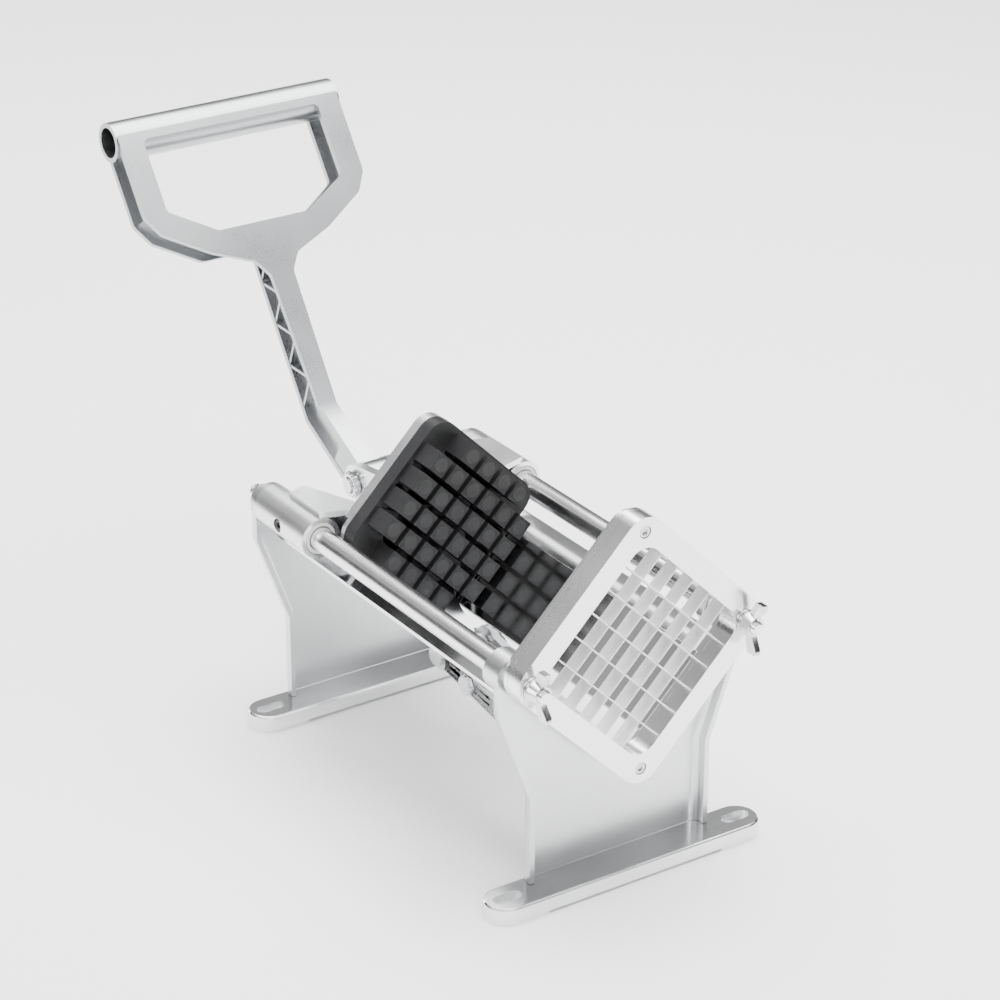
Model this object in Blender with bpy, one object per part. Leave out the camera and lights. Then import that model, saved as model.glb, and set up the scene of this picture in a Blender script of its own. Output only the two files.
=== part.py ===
"""Lever potato chipper: a pusher carriage slides on two rods towards a square blade grid.

Lengths are in metres. X runs across the machine, Y from the blade grid to the handle, Z up.
Each shape is drawn in bench coordinates, whose y starts at the front foot's centreline,
and the origin empty shifts the whole machine so that it stands centred on the world origin.
"""

import math

import bmesh
import bpy
from mathutils import Matrix, Vector

# Clearances and shared values
GAP = 0.0003
OVERRUN = 0.002
SINK = 0.001
SQUARE_TURN = math.radians(45)

# Stands
FOOT_LENGTH = 0.1566
FOOT_WIDTH = 0.022
FOOT_THICKNESS = 0.0088
FOOT_EDGE = 0.0018
FOOT_SPACING = 0.220
FOOT_RELIEF_HALF = 0.0502
FOOT_RELIEF_HEIGHT = 0.0015
SLOT_LENGTH = 0.0155
SLOT_WIDTH = 0.007
SLOT_WALL = 0.0042
LEG_DEPTH = 0.008
LEG_FLANGE = 0.0026
LEG_PANEL = 0.002
LEG_FILLET = 0.0035
LEG_CORNER = 0.005
LEG_FOOT_HALF = 0.0518
LEG_SHOULDER_Z = 0.0548
LEG_ROD_MARGIN = 0.00935
LEG_CHEST_Z = 0.1032
LEG_SPIGOT_LENGTH = 0.005
LEG_SPIGOT_MARGIN = 0.0006
LEDGE_DROP = 0.0003
REAR_NOTCH_HALF = 0.0065

# Blade head
HEAD_Z = 0.1238
CELLS = 6
GRID_MARGIN = 0.00165
WINDOW_HALF = 0.04065
WINDOW_CORNER = 0.010
BLOCK_BORDER = 0.01135
BLOCK_CORNER = 0.012
BLOCK_FRONT_DEPTH = 0.0095
BLOCK_BACK_DEPTH = 0.0025
HEAD_INSET = 0.002
BLADE_THICKNESS = 0.0005
BLADE_DEPTH = 0.0085
GROOVE_DEPTH = 0.0025
FRAME_SCREW_MARGIN = 0.0038
FRAME_SCREW_HEAD = 0.0029
FRAME_SCREW_SHANK = 0.0017
FRAME_SCREW_HEAD_HEIGHT = 0.002

# Guide rods and their nuts
ROD_MARGIN = 0.002512
ROD_DROP = 0.0018
ROD_RADIUS = 0.0060
STUD_RADIUS = 0.0032
STUD_TIP = 0.0215
STUD_CHAMFER = 0.0006
BOSS_RADIUS = 0.0102
BOSS_LENGTH = 0.006
BOSS_ROUND = 0.002
ROD_SOCKET = 0.003
REAR_BOSS_RADIUS = 0.0105
REAR_BOSS_THICKNESS = 0.003
COLLAR_RADIUS = 0.0078
BUSH_POCKET_RADIUS = 0.0118
WASHER_RADIUS = 0.0062
WASHER_THICKNESS = 0.0012
DOME_NUT_RADIUS = 0.0058
DOME_NUT_HEX = 0.0045
DOME_NUT_LENGTH = 0.0088
DOME_NUT_BORE = 0.0062
WING_HUB_BASE = 0.0062
WING_HUB_TIP = 0.0048
WING_HUB_LENGTH = 0.0050
WING_REACH = 0.0125
WING_THICKNESS = 0.0032
WING_FLARE = 0.0040
WING_CHORD = 0.0055
WING_TURNS = {"left": math.radians(88), "right": math.radians(100)}

# Potato bed
BED_SHEET = 0.002
BED_SLOT_HALF = 0.0086
BED_FLANGE_MARGIN = 0.0004
BED_SCREW_Y = 0.2262
BED_SCREW_HEAD = 0.0026
BED_SCREW_HEAD_HEIGHT = 0.0014
BED_SCREW_SHANK = 0.0015
BED_SCREW_REACH = 0.0035

# Carriage and pusher
PIN_TIP_Y = 0.144
PIN_LENGTH = 0.0135
PIN_SPACE = 0.0028
PUSHER_CLEARANCE = 0.00065
PUSHER_CORNER = 0.010
PUSHER_BASE = 0.008
PLATE_THICKNESS = 0.006
BUSH_FRONT_Y = 0.175
BUSH_RADIUS = 0.01075
BUSH_BORE = 0.0086
LINER_BORE = 0.0064
LINER_SCREW_Y = 0.1995
LINER_SCREW_HOLE = 0.0035
LINER_SCREW_THICKNESS = 0.0014
GUSSET_DROP = 0.0112
GUSSET_RISE = 0.0135
GUSSET_WALL = 0.003
GUSSET_RIB = 0.0037
GUSSET_REACH = 0.030
GUSSET_TOE = 0.003
GUSSET_INNER_DROP = 0.024
GUSSET_OUTER_DROP = 0.0165
GUSSET_BACK_DROP = 0.010
CHEEK_GAP_HALF = 0.0067
CHEEK_THICKNESS = 0.005
CHEEK_RADIUS = 0.010
CHEEK_ROOT_HALF = 0.017
CHEEK_ARC = math.radians(160)
NOTCH_HALF = 0.0063
PLATE_NOTCH_TOP = 0.0945
BASE_NOTCH_TOP = 0.0900
PUSHER_SCREW_X = 0.026
PUSHER_SCREW_RISE = 0.014
PUSHER_SCREW_HEAD = 0.0035
PUSHER_SCREW_HEAD_HEIGHT = 0.0025
PUSHER_SCREW_SHANK = 0.0017
PUSHER_SCREW_REACH = 0.0055

# Lever
PIVOT_Y = 0.222
PIVOT_Z = 0.121
TIP_Y = 0.137
TIP_Z = 0.061
BEND_Y = 0.2681
BEND_Z = 0.1469
UPPER_SLOPE = math.radians(54)
LOWER_SLOPE = math.radians(27.3)
LEVER_DEPTH = 0.020
LOOP_DEPTH = 0.018
LEVER_FLANGE = 0.003
LEVER_WEB_HALF = 0.0016
LEVER_ARM_HALF = 0.0048
STEM_BEND_HALF = 0.0052
STEM_TOP_HALF = 0.0066
STEM_TOP = 0.072
NECK_HALF = 0.0126
NECK_TOP = 0.081
LOOP_SHOULDER_HALF = 0.0344
LOOP_SHOULDER = 0.090
LOOP_HIP_HALF = 0.059
LOOP_HIP = 0.105
LOOP_SIDE_HALF = 0.0656
LOOP_SIDE = 0.116
HOLE_BOTTOM_HALF = 0.0275
HOLE_BOTTOM = 0.1011
HOLE_SIDE_HALF = 0.0522
HOLE_SIDE = 0.1164
HOLE_TOP = 0.1565
HOLE_ROUND = 0.003
LOOP_ROUND = 0.006
NECK_ROUND = 0.004
SHOULDER_ROUND = 0.012
LOOP_WEB_INSET = 0.0042
GRIP_CENTRE = 0.161
GRIP_RADIUS = 0.0105
GRIP_BORE = 0.0080
GRIP_HALF = 0.0665
LEVER_RIB = 0.0018
LEVER_RIBS = 7
ARM_STRAIGHT = 0.075
ARM_UNDER = 0.050
ARM_SHOULDER_SHARE = 1 / 3
TIP_EYE_RADIUS = 0.0080
TIP_EYE_HALF = 0.0078
TIP_RELIEF = 0.001
PIVOT_BOSS_RADIUS = 0.0095
PIVOT_BOSS_HALF = 0.0062
PIVOT_PIN_RADIUS = 0.004
PIVOT_HEAD_RADIUS = 0.007
PIVOT_HEAD_HEIGHT = 0.0035

# Links under the bed
LINK_PIVOT_Y = 0.020
LINK_PIVOT_Z = 0.042
LINK_INNER = 0.012
LINK_THICKNESS = 0.004
LINK_HEIGHT = 0.011
LINK_EYE_RADIUS = 0.008
LINK_RECESS_DEPTH = 0.0012
LINK_RECESS_EDGE = 0.0022
LINK_PIN_RADIUS = 0.003
LINK_HEAD_RADIUS = 0.0054
LINK_HEAD_HEIGHT = 0.0027
LINK_SPACER_SHARE = 0.77
LINK_SPACER_RADIUS = 0.005
LINK_SPACER_BOLT = 0.0025
LUG_TOP_RISE = 0.012
LUG_ROUND = 0.004

# Facets
ROD_SIDES = 32
BUSH_SIDES = 40
SMALL_SIDES = 20
CORNER_STEPS = 6
EDGE_STEPS = 3
LEG_CORNER_STEPS = 4
CHEEK_STEPS = 8
SHARP_ANGLE = math.radians(35)
STRAIGHT_ANGLE = math.radians(89)

# Pieces whose holes and grooves cross so closely that they need the manifold solver
CROSSED = {
    "front_foot",
    "rear_foot",
    "front_leg",
    "rear_leg",
    "blade_frame",
    "carriage",
    "lever",
    "wing_nut_left",
    "wing_nut_right",
}

# Places worked out from the sizes
WINDOW_REACH = WINDOW_HALF / math.cos(SQUARE_TURN)
BLADE_PITCH = 2 * (WINDOW_HALF - GRID_MARGIN) / CELLS
BLOCK_HALF = WINDOW_HALF + BLOCK_BORDER
FRAME_SCREW_DROP = WINDOW_REACH + FRAME_SCREW_MARGIN
ROD_X = WINDOW_REACH + ROD_MARGIN
ROD_Z = HEAD_Z - ROD_DROP
LEG_TOP_HALF = ROD_X + LEG_ROD_MARGIN
LEG_BASE_Z = FOOT_THICKNESS + GAP
LEG_FRONT_Y = FOOT_WIDTH / 2 - LEG_DEPTH
LEG_BACK_Y = FOOT_WIDTH / 2
BLOCK_BACK_Y = 0.0
BLOCK_SPLIT_Y = BLOCK_BACK_Y - BLOCK_BACK_DEPTH - GAP
BLOCK_FRONT_Y = BLOCK_SPLIT_Y - BLOCK_FRONT_DEPTH
BED_OUTER = WINDOW_HALF + BED_SHEET
SEAT_HALF = BED_OUTER + GAP
BED_WALL_TOP = WINDOW_HALF
BED_CUT_HALF = BED_WALL_TOP + GAP
BED_FLANGE_HALF = ROD_X - BED_FLANGE_MARGIN
BED_SCREW_X = (BED_WALL_TOP + ROD_X - REAR_BOSS_RADIUS) / 2
PUSHER_HALF = WINDOW_HALF - PUSHER_CLEARANCE
PIN_SIDE = BLADE_PITCH - PIN_SPACE
GUSSET_INNER_X = ROD_X - GUSSET_INNER_DROP
GUSSET_OUTER_X = ROD_X - GUSSET_OUTER_DROP
GUSSET_BACK_X = ROD_X - GUSSET_BACK_DROP
ROD_FRONT_Y = LEG_BACK_Y - ROD_SOCKET
BOSS_FRONT_Y = FOOT_SPACING + LEG_FRONT_Y + GAP
BOSS_BACK_Y = FOOT_SPACING + LEG_BACK_Y + GAP
ROD_BACK_Y = BOSS_FRONT_Y - GAP
BUSH_BACK_Y = ROD_BACK_Y - GAP
HEAD_BACK_Y = LEG_FRONT_Y + SINK
PANEL_FRONT_Y = LEG_BACK_Y - LEG_PANEL
BED_BACK_Y = FOOT_SPACING + LEG_BACK_Y
BASE_FRONT_Y = PIN_TIP_Y + PIN_LENGTH
BASE_BACK_Y = BASE_FRONT_Y + PUSHER_BASE
PLATE_FRONT_Y = BASE_BACK_Y + GAP
PLATE_BACK_Y = PLATE_FRONT_Y + PLATE_THICKNESS
CHEEK_OUTER = CHEEK_GAP_HALF + CHEEK_THICKNESS
LINK_OUTER = LINK_INNER + LINK_THICKNESS
UPPER_ALONG = Vector((0.0, math.cos(UPPER_SLOPE), math.sin(UPPER_SLOPE)))
UPPER_BACK = Vector((0.0, math.sin(UPPER_SLOPE), -math.cos(UPPER_SLOPE)))
LOWER_ALONG = Vector((0.0, math.cos(LOWER_SLOPE), math.sin(LOWER_SLOPE)))
LOWER_BACK = Vector((0.0, math.sin(LOWER_SLOPE), -math.cos(LOWER_SLOPE)))
BEND = Vector((0.0, BEND_Y, BEND_Z))
PIVOT = Vector((0.0, PIVOT_Y, PIVOT_Z))
TIP = Vector((0.0, TIP_Y, TIP_Z))
LINK_PIVOT = Vector((0.0, LINK_PIVOT_Y, LINK_PIVOT_Z))
GRIP_AXIS = BEND + UPPER_ALONG * GRIP_CENTRE + UPPER_BACK * GRIP_RADIUS
FRONT_END_Y = -STUD_TIP
WING_SEAT_Y = BLOCK_FRONT_Y - WASHER_THICKNESS - 2 * GAP
WING_END_Y = WING_SEAT_Y - WING_HUB_LENGTH - WING_FLARE
BACK_END_Y = GRIP_AXIS.y + GRIP_RADIUS
ORIGIN_Y = (WING_END_Y + BACK_END_Y) / 2
SIDES = {"left": -1, "right": 1}


# Materials


def make_material(name, colour, roughness, metallic):
    """Return a Principled material of one plain colour."""
    material = bpy.data.materials.new(name)
    material.use_nodes = True
    shader = material.node_tree.nodes["Principled BSDF"]
    shader.inputs["Base Color"].default_value = (*colour, 1.0)
    shader.inputs["Roughness"].default_value = roughness
    shader.inputs["Metallic"].default_value = metallic
    return material


def make_materials():
    """Return every finish by its name."""
    return {
        "cast": make_material("cast_aluminium", (0.72, 0.73, 0.74), 0.30, 1.0),
        "polished": make_material("polished_aluminium", (0.82, 0.83, 0.84), 0.16, 1.0),
        "steel": make_material("chromed_steel", (0.80, 0.80, 0.81), 0.12, 1.0),
        "blade": make_material("blade_steel", (0.74, 0.75, 0.76), 0.14, 1.0),
        "fastener": make_material("fastener_steel", (0.62, 0.62, 0.63), 0.25, 1.0),
        "plastic": make_material("black_plastic", (0.022, 0.022, 0.024), 0.48, 0.0),
        "liner": make_material("grey_liner", (0.62, 0.62, 0.60), 0.45, 0.0),
    }


# Outlines


def mirrored(half):
    """Return a closed outline from its right half, listed from bottom to top."""
    left = [(-x, z) for x, z in reversed(half) if x > 0]
    return list(half) + left


def rounded(points, radius, steps=CORNER_STEPS):
    """Return an outline whose corners are arcs; radius is one value or one for each point."""
    radii = radius if isinstance(radius, (list, tuple)) else [radius] * len(points)
    outline = []
    for index, corner in enumerate(points):
        here = Vector(corner)
        before = (Vector(points[index - 1]) - here).normalized()
        after = (Vector(points[(index + 1) % len(points)]) - here).normalized()
        half_angle = before.angle(after) / 2
        if radii[index] <= 0 or half_angle > STRAIGHT_ANGLE:
            outline.append(tuple(here))
            continue
        centre = here + (before + after).normalized() * radii[index] / math.sin(half_angle)
        start = here + before * radii[index] / math.tan(half_angle) - centre
        end = here + after * radii[index] / math.tan(half_angle) - centre
        sweep = start.angle_signed(end)
        for step in range(steps + 1):
            turn = Matrix.Rotation(-sweep * step / steps, 2)
            outline.append(tuple(centre + turn @ start))
    return outline


def inset(points, distance):
    """Return an outline moved inwards by one distance, with mitred corners."""
    area = sum(a[0] * b[1] - b[0] * a[1] for a, b in zip(points, points[1:] + points[:1]))
    side = distance if area > 0 else -distance
    moved = []
    for index, corner in enumerate(points):
        here = Vector(corner)
        into = (here - Vector(points[index - 1])).normalized()
        out = (Vector(points[(index + 1) % len(points)]) - here).normalized()
        normal_in = Vector((-into.y, into.x))
        normal_out = Vector((-out.y, out.x))
        mitre = (normal_in + normal_out) / (1 + normal_in.dot(normal_out))
        moved.append(tuple(here + mitre * side))
    return moved


def diamond(half, radius, centre_z=HEAD_Z):
    """Return a square that stands on its corner, as (x, z) points."""
    reach = half / math.cos(SQUARE_TURN)
    corners = [(0.0, centre_z - reach), (reach, centre_z), (0.0, centre_z + reach), (-reach, centre_z)]
    return rounded(corners, radius)


def circle(centre, radius, sides):
    """Return the points of a circle around a 2-D centre."""
    turns = [math.tau * index / sides for index in range(sides)]
    return [(centre[0] + radius * math.cos(t), centre[1] + radius * math.sin(t)) for t in turns]


def stadium(half_length, radius, centre=(0.0, 0.0)):
    """Return a bar outline with two round ends, along the first axis."""
    corners = [
        (centre[0] - half_length, centre[1] - radius),
        (centre[0] + half_length, centre[1] - radius),
        (centre[0] + half_length, centre[1] + radius),
        (centre[0] - half_length, centre[1] + radius),
    ]
    return rounded(corners, radius * (1 - SINK), CORNER_STEPS + 2)


# Solids


def finish_mesh(name, mesh_data):
    """Turn the faces out, shade them and return the mesh."""
    bmesh.ops.recalc_face_normals(mesh_data, faces=mesh_data.faces)
    mesh = bpy.data.meshes.new(name)
    mesh_data.to_mesh(mesh)
    mesh_data.free()
    mesh.shade_smooth()
    mesh.set_sharp_from_angle(angle=SHARP_ANGLE)
    return mesh


def frame_matrix(axis):
    """Return the matrix that carries (u, v, along) to world axes for an extrusion axis."""
    columns = {
        "X": ((0, 1, 0), (0, 0, 1), (1, 0, 0)),
        "Y": ((1, 0, 0), (0, 0, 1), (0, 1, 0)),
        "Z": ((1, 0, 0), (0, 1, 0), (0, 0, 1)),
    }[axis]
    return Matrix(columns).transposed().to_4x4()


def prism(name, outline, axis, start, end, matrix=None):
    """Return an outline extruded along an axis; X takes (y, z), Y takes (x, z), Z takes (x, y)."""
    shape = bmesh.new()
    corners = [shape.verts.new((u, v, start)) for u, v in outline]
    face = shape.faces.new(corners)
    grown = bmesh.ops.extrude_face_region(shape, geom=[face])
    moved = [item for item in grown["geom"] if isinstance(item, bmesh.types.BMVert)]
    bmesh.ops.translate(shape, verts=moved, vec=(0.0, 0.0, end - start))
    bmesh.ops.transform(shape, matrix=matrix or frame_matrix(axis), verts=shape.verts)
    return bpy.data.objects.new(name, finish_mesh(name, shape))


def turned(name, profile, axis, centre, sides=SMALL_SIDES, closed=False):
    """Return a profile of (radius, along) points spun about an axis through a centre."""
    shape = bmesh.new()
    corners = [shape.verts.new((radius, 0.0, along)) for radius, along in profile]
    pairs = list(zip(corners, corners[1:] + corners[:1] if closed else corners[1:]))
    edges = [shape.edges.new(pair) for pair in pairs]
    bmesh.ops.spin(
        shape,
        geom=corners + edges,
        cent=(0.0, 0.0, 0.0),
        axis=(0.0, 0.0, 1.0),
        angle=math.tau,
        steps=sides,
        use_merge=True,
    )
    bmesh.ops.remove_doubles(shape, verts=shape.verts, dist=GAP / 100)
    place = Matrix.Translation(Vector(centre)) @ frame_matrix(axis)
    bmesh.ops.transform(shape, matrix=place, verts=shape.verts)
    return bpy.data.objects.new(name, finish_mesh(name, shape))


def cylinder(name, radius, axis, centre, start, end, sides=SMALL_SIDES):
    """Return a plain cylinder between two places along its axis."""
    return turned(name, [(0.0, start), (radius, start), (radius, end), (0.0, end)], axis, centre, sides)


def ring(name, inner, outer, axis, centre, start, end, sides=SMALL_SIDES):
    """Return a plain tube between two places along its axis."""
    profile = [(inner, start), (outer, start), (outer, end), (inner, end)]
    return turned(name, profile, axis, centre, sides, closed=True)


def box(name, low, high):
    """Return a box between two corners."""
    outline = [(low[0], low[1]), (high[0], low[1]), (high[0], high[1]), (low[0], high[1])]
    return prism(name, outline, "Z", low[2], high[2])


def joined(name, objects):
    """Return one object that holds the meshes of several, which keep their places."""
    shape = bmesh.new()
    for item in objects:
        shape.from_mesh(item.data)
        bpy.data.objects.remove(item)
    return bpy.data.objects.new(name, finish_mesh(name, shape))


class Body:
    """A group of pieces that move as one, carried by an empty on its joint's axis."""

    def __init__(self, name, place, parent=None):
        """Make the empty at a bench place, under another body's empty."""
        self.place = Vector(place)
        self.empty = bpy.data.objects.new(name, None)
        bpy.context.scene.collection.objects.link(self.empty)
        self.empty.empty_display_size = ROD_RADIUS
        if parent is not None:
            self.empty.parent = parent.empty
            self.empty.location = self.place - parent.place

    def add(self, item, material=None):
        """Seat an object drawn in bench coordinates on the body's empty."""
        item.data.transform(Matrix.Translation(-self.place))
        if material is not None:
            item.data.materials.append(material)
        bpy.context.scene.collection.objects.link(item)
        item.parent = self.empty
        return item

    def combine(self, item, tool, operation):
        """Add one Boolean whose tool rides on the same body and stays hidden."""
        tool.name = f"{item.name}_{operation.lower()}_{len(item.modifiers)}"
        self.add(tool)
        tool.hide_render = True
        tool.display_type = "WIRE"
        modifier = item.modifiers.new(tool.name, "BOOLEAN")
        modifier.operation = operation
        modifier.solver = "MANIFOLD" if item.name in CROSSED else "EXACT"
        modifier.object = tool

    def union(self, item, tools):
        """Fuse each tool to the item."""
        for tool in tools:
            self.combine(item, tool, "UNION")

    def cut(self, item, tools):
        """Cut each tool from the item."""
        for tool in tools:
            self.combine(item, tool, "DIFFERENCE")


def add_hex_nut(body, name, place, bore, radius, start, end, finish):
    """Add a six-sided nut around a bolt that lies along X."""
    outline = circle((place[1], place[2]), radius, 6)
    nut = prism(name, outline, "X", start, end)
    body.add(nut, finish)
    body.cut(nut, [cylinder("thread", bore, "X", place, start - OVERRUN, end + OVERRUN)])


# Stands


def soften(item, chosen, offset, steps):
    """Round the edges of an object that a test picks."""
    shape = bmesh.new()
    shape.from_mesh(item.data)
    edges = [edge for edge in shape.edges if chosen(edge)]
    bmesh.ops.bevel(shape, geom=edges, offset=offset, segments=steps, profile=0.5, affect="EDGES")
    item.data = finish_mesh(item.name, shape)
    return item


def level_edge(edge, axis, place):
    """Tell whether both ends of an edge lie at one place along an axis."""
    return all(abs(vert.co[axis] - place) < GAP for vert in edge.verts)


def build_foot(name, place_y, frame, finishes):
    """Make a foot bar with round ends, a rounded top edge, bolt slots and two pads."""
    outline = stadium(FOOT_LENGTH / 2, FOOT_WIDTH / 2, (0.0, place_y))
    foot = prism(name, outline, "Z", 0.0, FOOT_THICKNESS)
    soften(foot, lambda edge: level_edge(edge, 2, FOOT_THICKNESS), FOOT_EDGE, EDGE_STEPS)
    frame.add(foot, finishes["polished"])
    slot_x = FOOT_LENGTH / 2 - SLOT_WALL - SLOT_LENGTH / 2
    tools = []
    for side in SIDES.values():
        outline = stadium(SLOT_LENGTH / 2, SLOT_WIDTH / 2, (side * slot_x, place_y))
        tools.append(prism("slot", outline, "Z", -OVERRUN, FOOT_THICKNESS + OVERRUN))
        tools.append(spigot(side, place_y, GAP))
    reach = FOOT_WIDTH / 2 + OVERRUN
    low = (-FOOT_RELIEF_HALF, place_y - reach, -OVERRUN)
    high = (FOOT_RELIEF_HALF, place_y + reach, FOOT_RELIEF_HEIGHT)
    tools.append(box("relief", low, high))
    frame.cut(foot, tools)


def spigot(side, place_y, clearance):
    """Return the tongue under a leg's side flange, or its pocket when given a clearance."""
    outer = LEG_FOOT_HALF - LEG_SPIGOT_MARGIN
    inner = LEG_FOOT_HALF - LEG_FLANGE + LEG_SPIGOT_MARGIN / 2
    near, far = sorted((side * (inner - clearance), side * (outer + clearance)))
    start = place_y + LEG_FRONT_Y + LEG_SPIGOT_MARGIN - clearance
    end = place_y + PANEL_FRONT_Y - LEG_CORNER / 2 + clearance
    low = FOOT_THICKNESS - LEG_SPIGOT_LENGTH - clearance
    high = FOOT_THICKNESS + OVERRUN
    return box("spigot", (near, start, low), (far, end, high))


def leg_half_outline():
    """Return the right side of a leg, from the foot up to the chest."""
    return [
        (LEG_FOOT_HALF, LEG_BASE_Z),
        (LEG_FOOT_HALF, LEG_SHOULDER_Z),
        (LEG_TOP_HALF, LEG_CHEST_Z),
        (LEG_TOP_HALF, HEAD_Z),
    ]


def build_leg(name, half, place_y, frame, finishes):
    """Make a leg: a thin panel with a flange all round except at the foot."""
    back = place_y + LEG_BACK_Y
    leg = prism(name, mirrored(half), "Y", place_y + LEG_FRONT_Y, back)
    side_x = LEG_FOOT_HALF - GAP

    def is_side_edge(edge):
        low, high = edge.verts
        outside = min(abs(low.co.x), abs(high.co.x)) > side_x
        return level_edge(edge, 1, back) and outside and abs(low.co.z - high.co.z) > GAP

    soften(leg, is_side_edge, LEG_CORNER, LEG_CORNER_STEPS)
    frame.add(leg, finishes["cast"])
    hollow = inset(mirrored(half), LEG_FLANGE)
    low = LEG_BASE_Z - OVERRUN
    hollow = [(x, low) if z < LEG_SHOULDER_Z / 2 else (x, z) for x, z in hollow]
    floor = place_y + PANEL_FRONT_Y
    tool = prism("hollow", hollow, "Y", place_y + LEG_FRONT_Y - OVERRUN, floor)

    def is_floor_edge(edge):
        return level_edge(edge, 1, floor) and not level_edge(edge, 2, low)

    soften(tool, is_floor_edge, LEG_FILLET, EDGE_STEPS)
    frame.cut(leg, [tool])
    frame.union(leg, [spigot(side, place_y, 0.0) for side in SIDES.values()])
    return leg


def build_front_leg(frame, finishes):
    """Make the front leg with the head plate, the rod bosses and the link lug."""
    leg = build_leg("front_leg", leg_half_outline(), 0.0, frame, finishes)
    head = diamond(BLOCK_HALF - HEAD_INSET, BLOCK_CORNER - HEAD_INSET)
    top = LINK_PIVOT_Z + LINK_EYE_RADIUS
    low = LINK_PIVOT_Z - LINK_EYE_RADIUS
    tip = LINK_PIVOT_Y + LINK_EYE_RADIUS
    root = PANEL_FRONT_Y + SINK
    lug = rounded([(root, low), (tip, low), (tip, top), (root, top + LUG_TOP_RISE)], [0.0, LUG_ROUND, LUG_ROUND, 0.0])
    lug_half = LINK_INNER - GAP
    tools = [
        prism("head", head, "Y", BLOCK_BACK_Y + GAP, HEAD_BACK_Y),
        prism("lug", lug, "X", -lug_half, lug_half),
    ]
    start = LEG_FRONT_Y
    end = LEG_BACK_Y + BOSS_LENGTH
    lip = BOSS_RADIUS - BOSS_ROUND
    profile = [(0.0, start), (BOSS_RADIUS, start), (BOSS_RADIUS, end - BOSS_ROUND), (lip, end), (0.0, end)]
    for side in SIDES.values():
        tools.append(turned("boss", profile, "Y", (side * ROD_X, 0.0, ROD_Z), ROD_SIDES))
    frame.union(leg, tools)
    hole_start = BLOCK_BACK_Y - OVERRUN
    seat = diamond(SEAT_HALF, WINDOW_CORNER - BED_SHEET)
    passage = diamond(PUSHER_HALF + GAP, PUSHER_CORNER)
    cutters = [
        prism("window", seat, "Y", hole_start, LEG_BACK_Y + GAP),
        prism("passage", passage, "Y", hole_start, end + OVERRUN),
    ]
    for side in SIDES.values():
        centre = (side * ROD_X, 0.0, ROD_Z)
        socket = LEG_BACK_Y + BOSS_LENGTH + OVERRUN
        cutters.append(cylinder("socket", ROD_RADIUS + GAP, "Y", centre, ROD_FRONT_Y - GAP, socket, ROD_SIDES))
        cutters.append(cylinder("stud_hole", STUD_RADIUS + GAP, "Y", centre, hole_start, LEG_BACK_Y))
        place = (0.0, 0.0, HEAD_Z + side * FRAME_SCREW_DROP)
        hole_end = LEG_BACK_Y + OVERRUN
        cutters.append(cylinder("screw_hole", FRAME_SCREW_SHANK + GAP, "Y", place, hole_start, hole_end))
    lug_bore = LINK_PIN_RADIUS + GAP
    cutters.append(cylinder("lug_bore", lug_bore, "X", LINK_PIVOT, -LINK_OUTER, LINK_OUTER))
    frame.cut(leg, cutters)


def build_rear_leg(frame, finishes):
    """Make the rear leg, whose notched top carries the bed and clears the lever."""
    under = HEAD_Z - SEAT_HALF / math.cos(SQUARE_TURN)
    ledge = HEAD_Z - WINDOW_REACH + BED_WALL_TOP - BED_SHEET - LEDGE_DROP
    post_half = ROD_X - REAR_BOSS_RADIUS
    half = leg_half_outline() + [
        (post_half, HEAD_Z),
        (post_half, ledge),
        (ledge - under, ledge),
        (REAR_NOTCH_HALF, under + REAR_NOTCH_HALF),
    ]
    leg = build_leg("rear_leg", half, FOOT_SPACING, frame, finishes)
    front = FOOT_SPACING + LEG_FRONT_Y
    bosses = []
    cutters = []
    for side in SIDES.values():
        centre = (side * ROD_X, 0.0, ROD_Z)
        boss_end = BOSS_FRONT_Y + REAR_BOSS_THICKNESS
        bosses.append(cylinder("boss", REAR_BOSS_RADIUS, "Y", centre, BOSS_FRONT_Y, boss_end, ROD_SIDES))
        bosses.append(cylinder("collar", COLLAR_RADIUS, "Y", centre, BOSS_FRONT_Y + SINK, BOSS_BACK_Y, ROD_SIDES))
        cutters.append(cylinder("pocket", BUSH_POCKET_RADIUS, "Y", centre, front - OVERRUN, BOSS_FRONT_Y, BUSH_SIDES))
        cutters.append(cylinder("stud_hole", STUD_RADIUS + GAP, "Y", centre, front, BOSS_BACK_Y + OVERRUN))
        place = (side * BED_SCREW_X, BED_SCREW_Y, 0.0)
        cutters.append(cylinder("tap", BED_SCREW_SHANK + GAP, "Z", place, ledge - BED_SCREW_REACH, HEAD_Z))
    frame.union(leg, bosses)
    frame.cut(leg, cutters)


# Blade head


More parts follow.
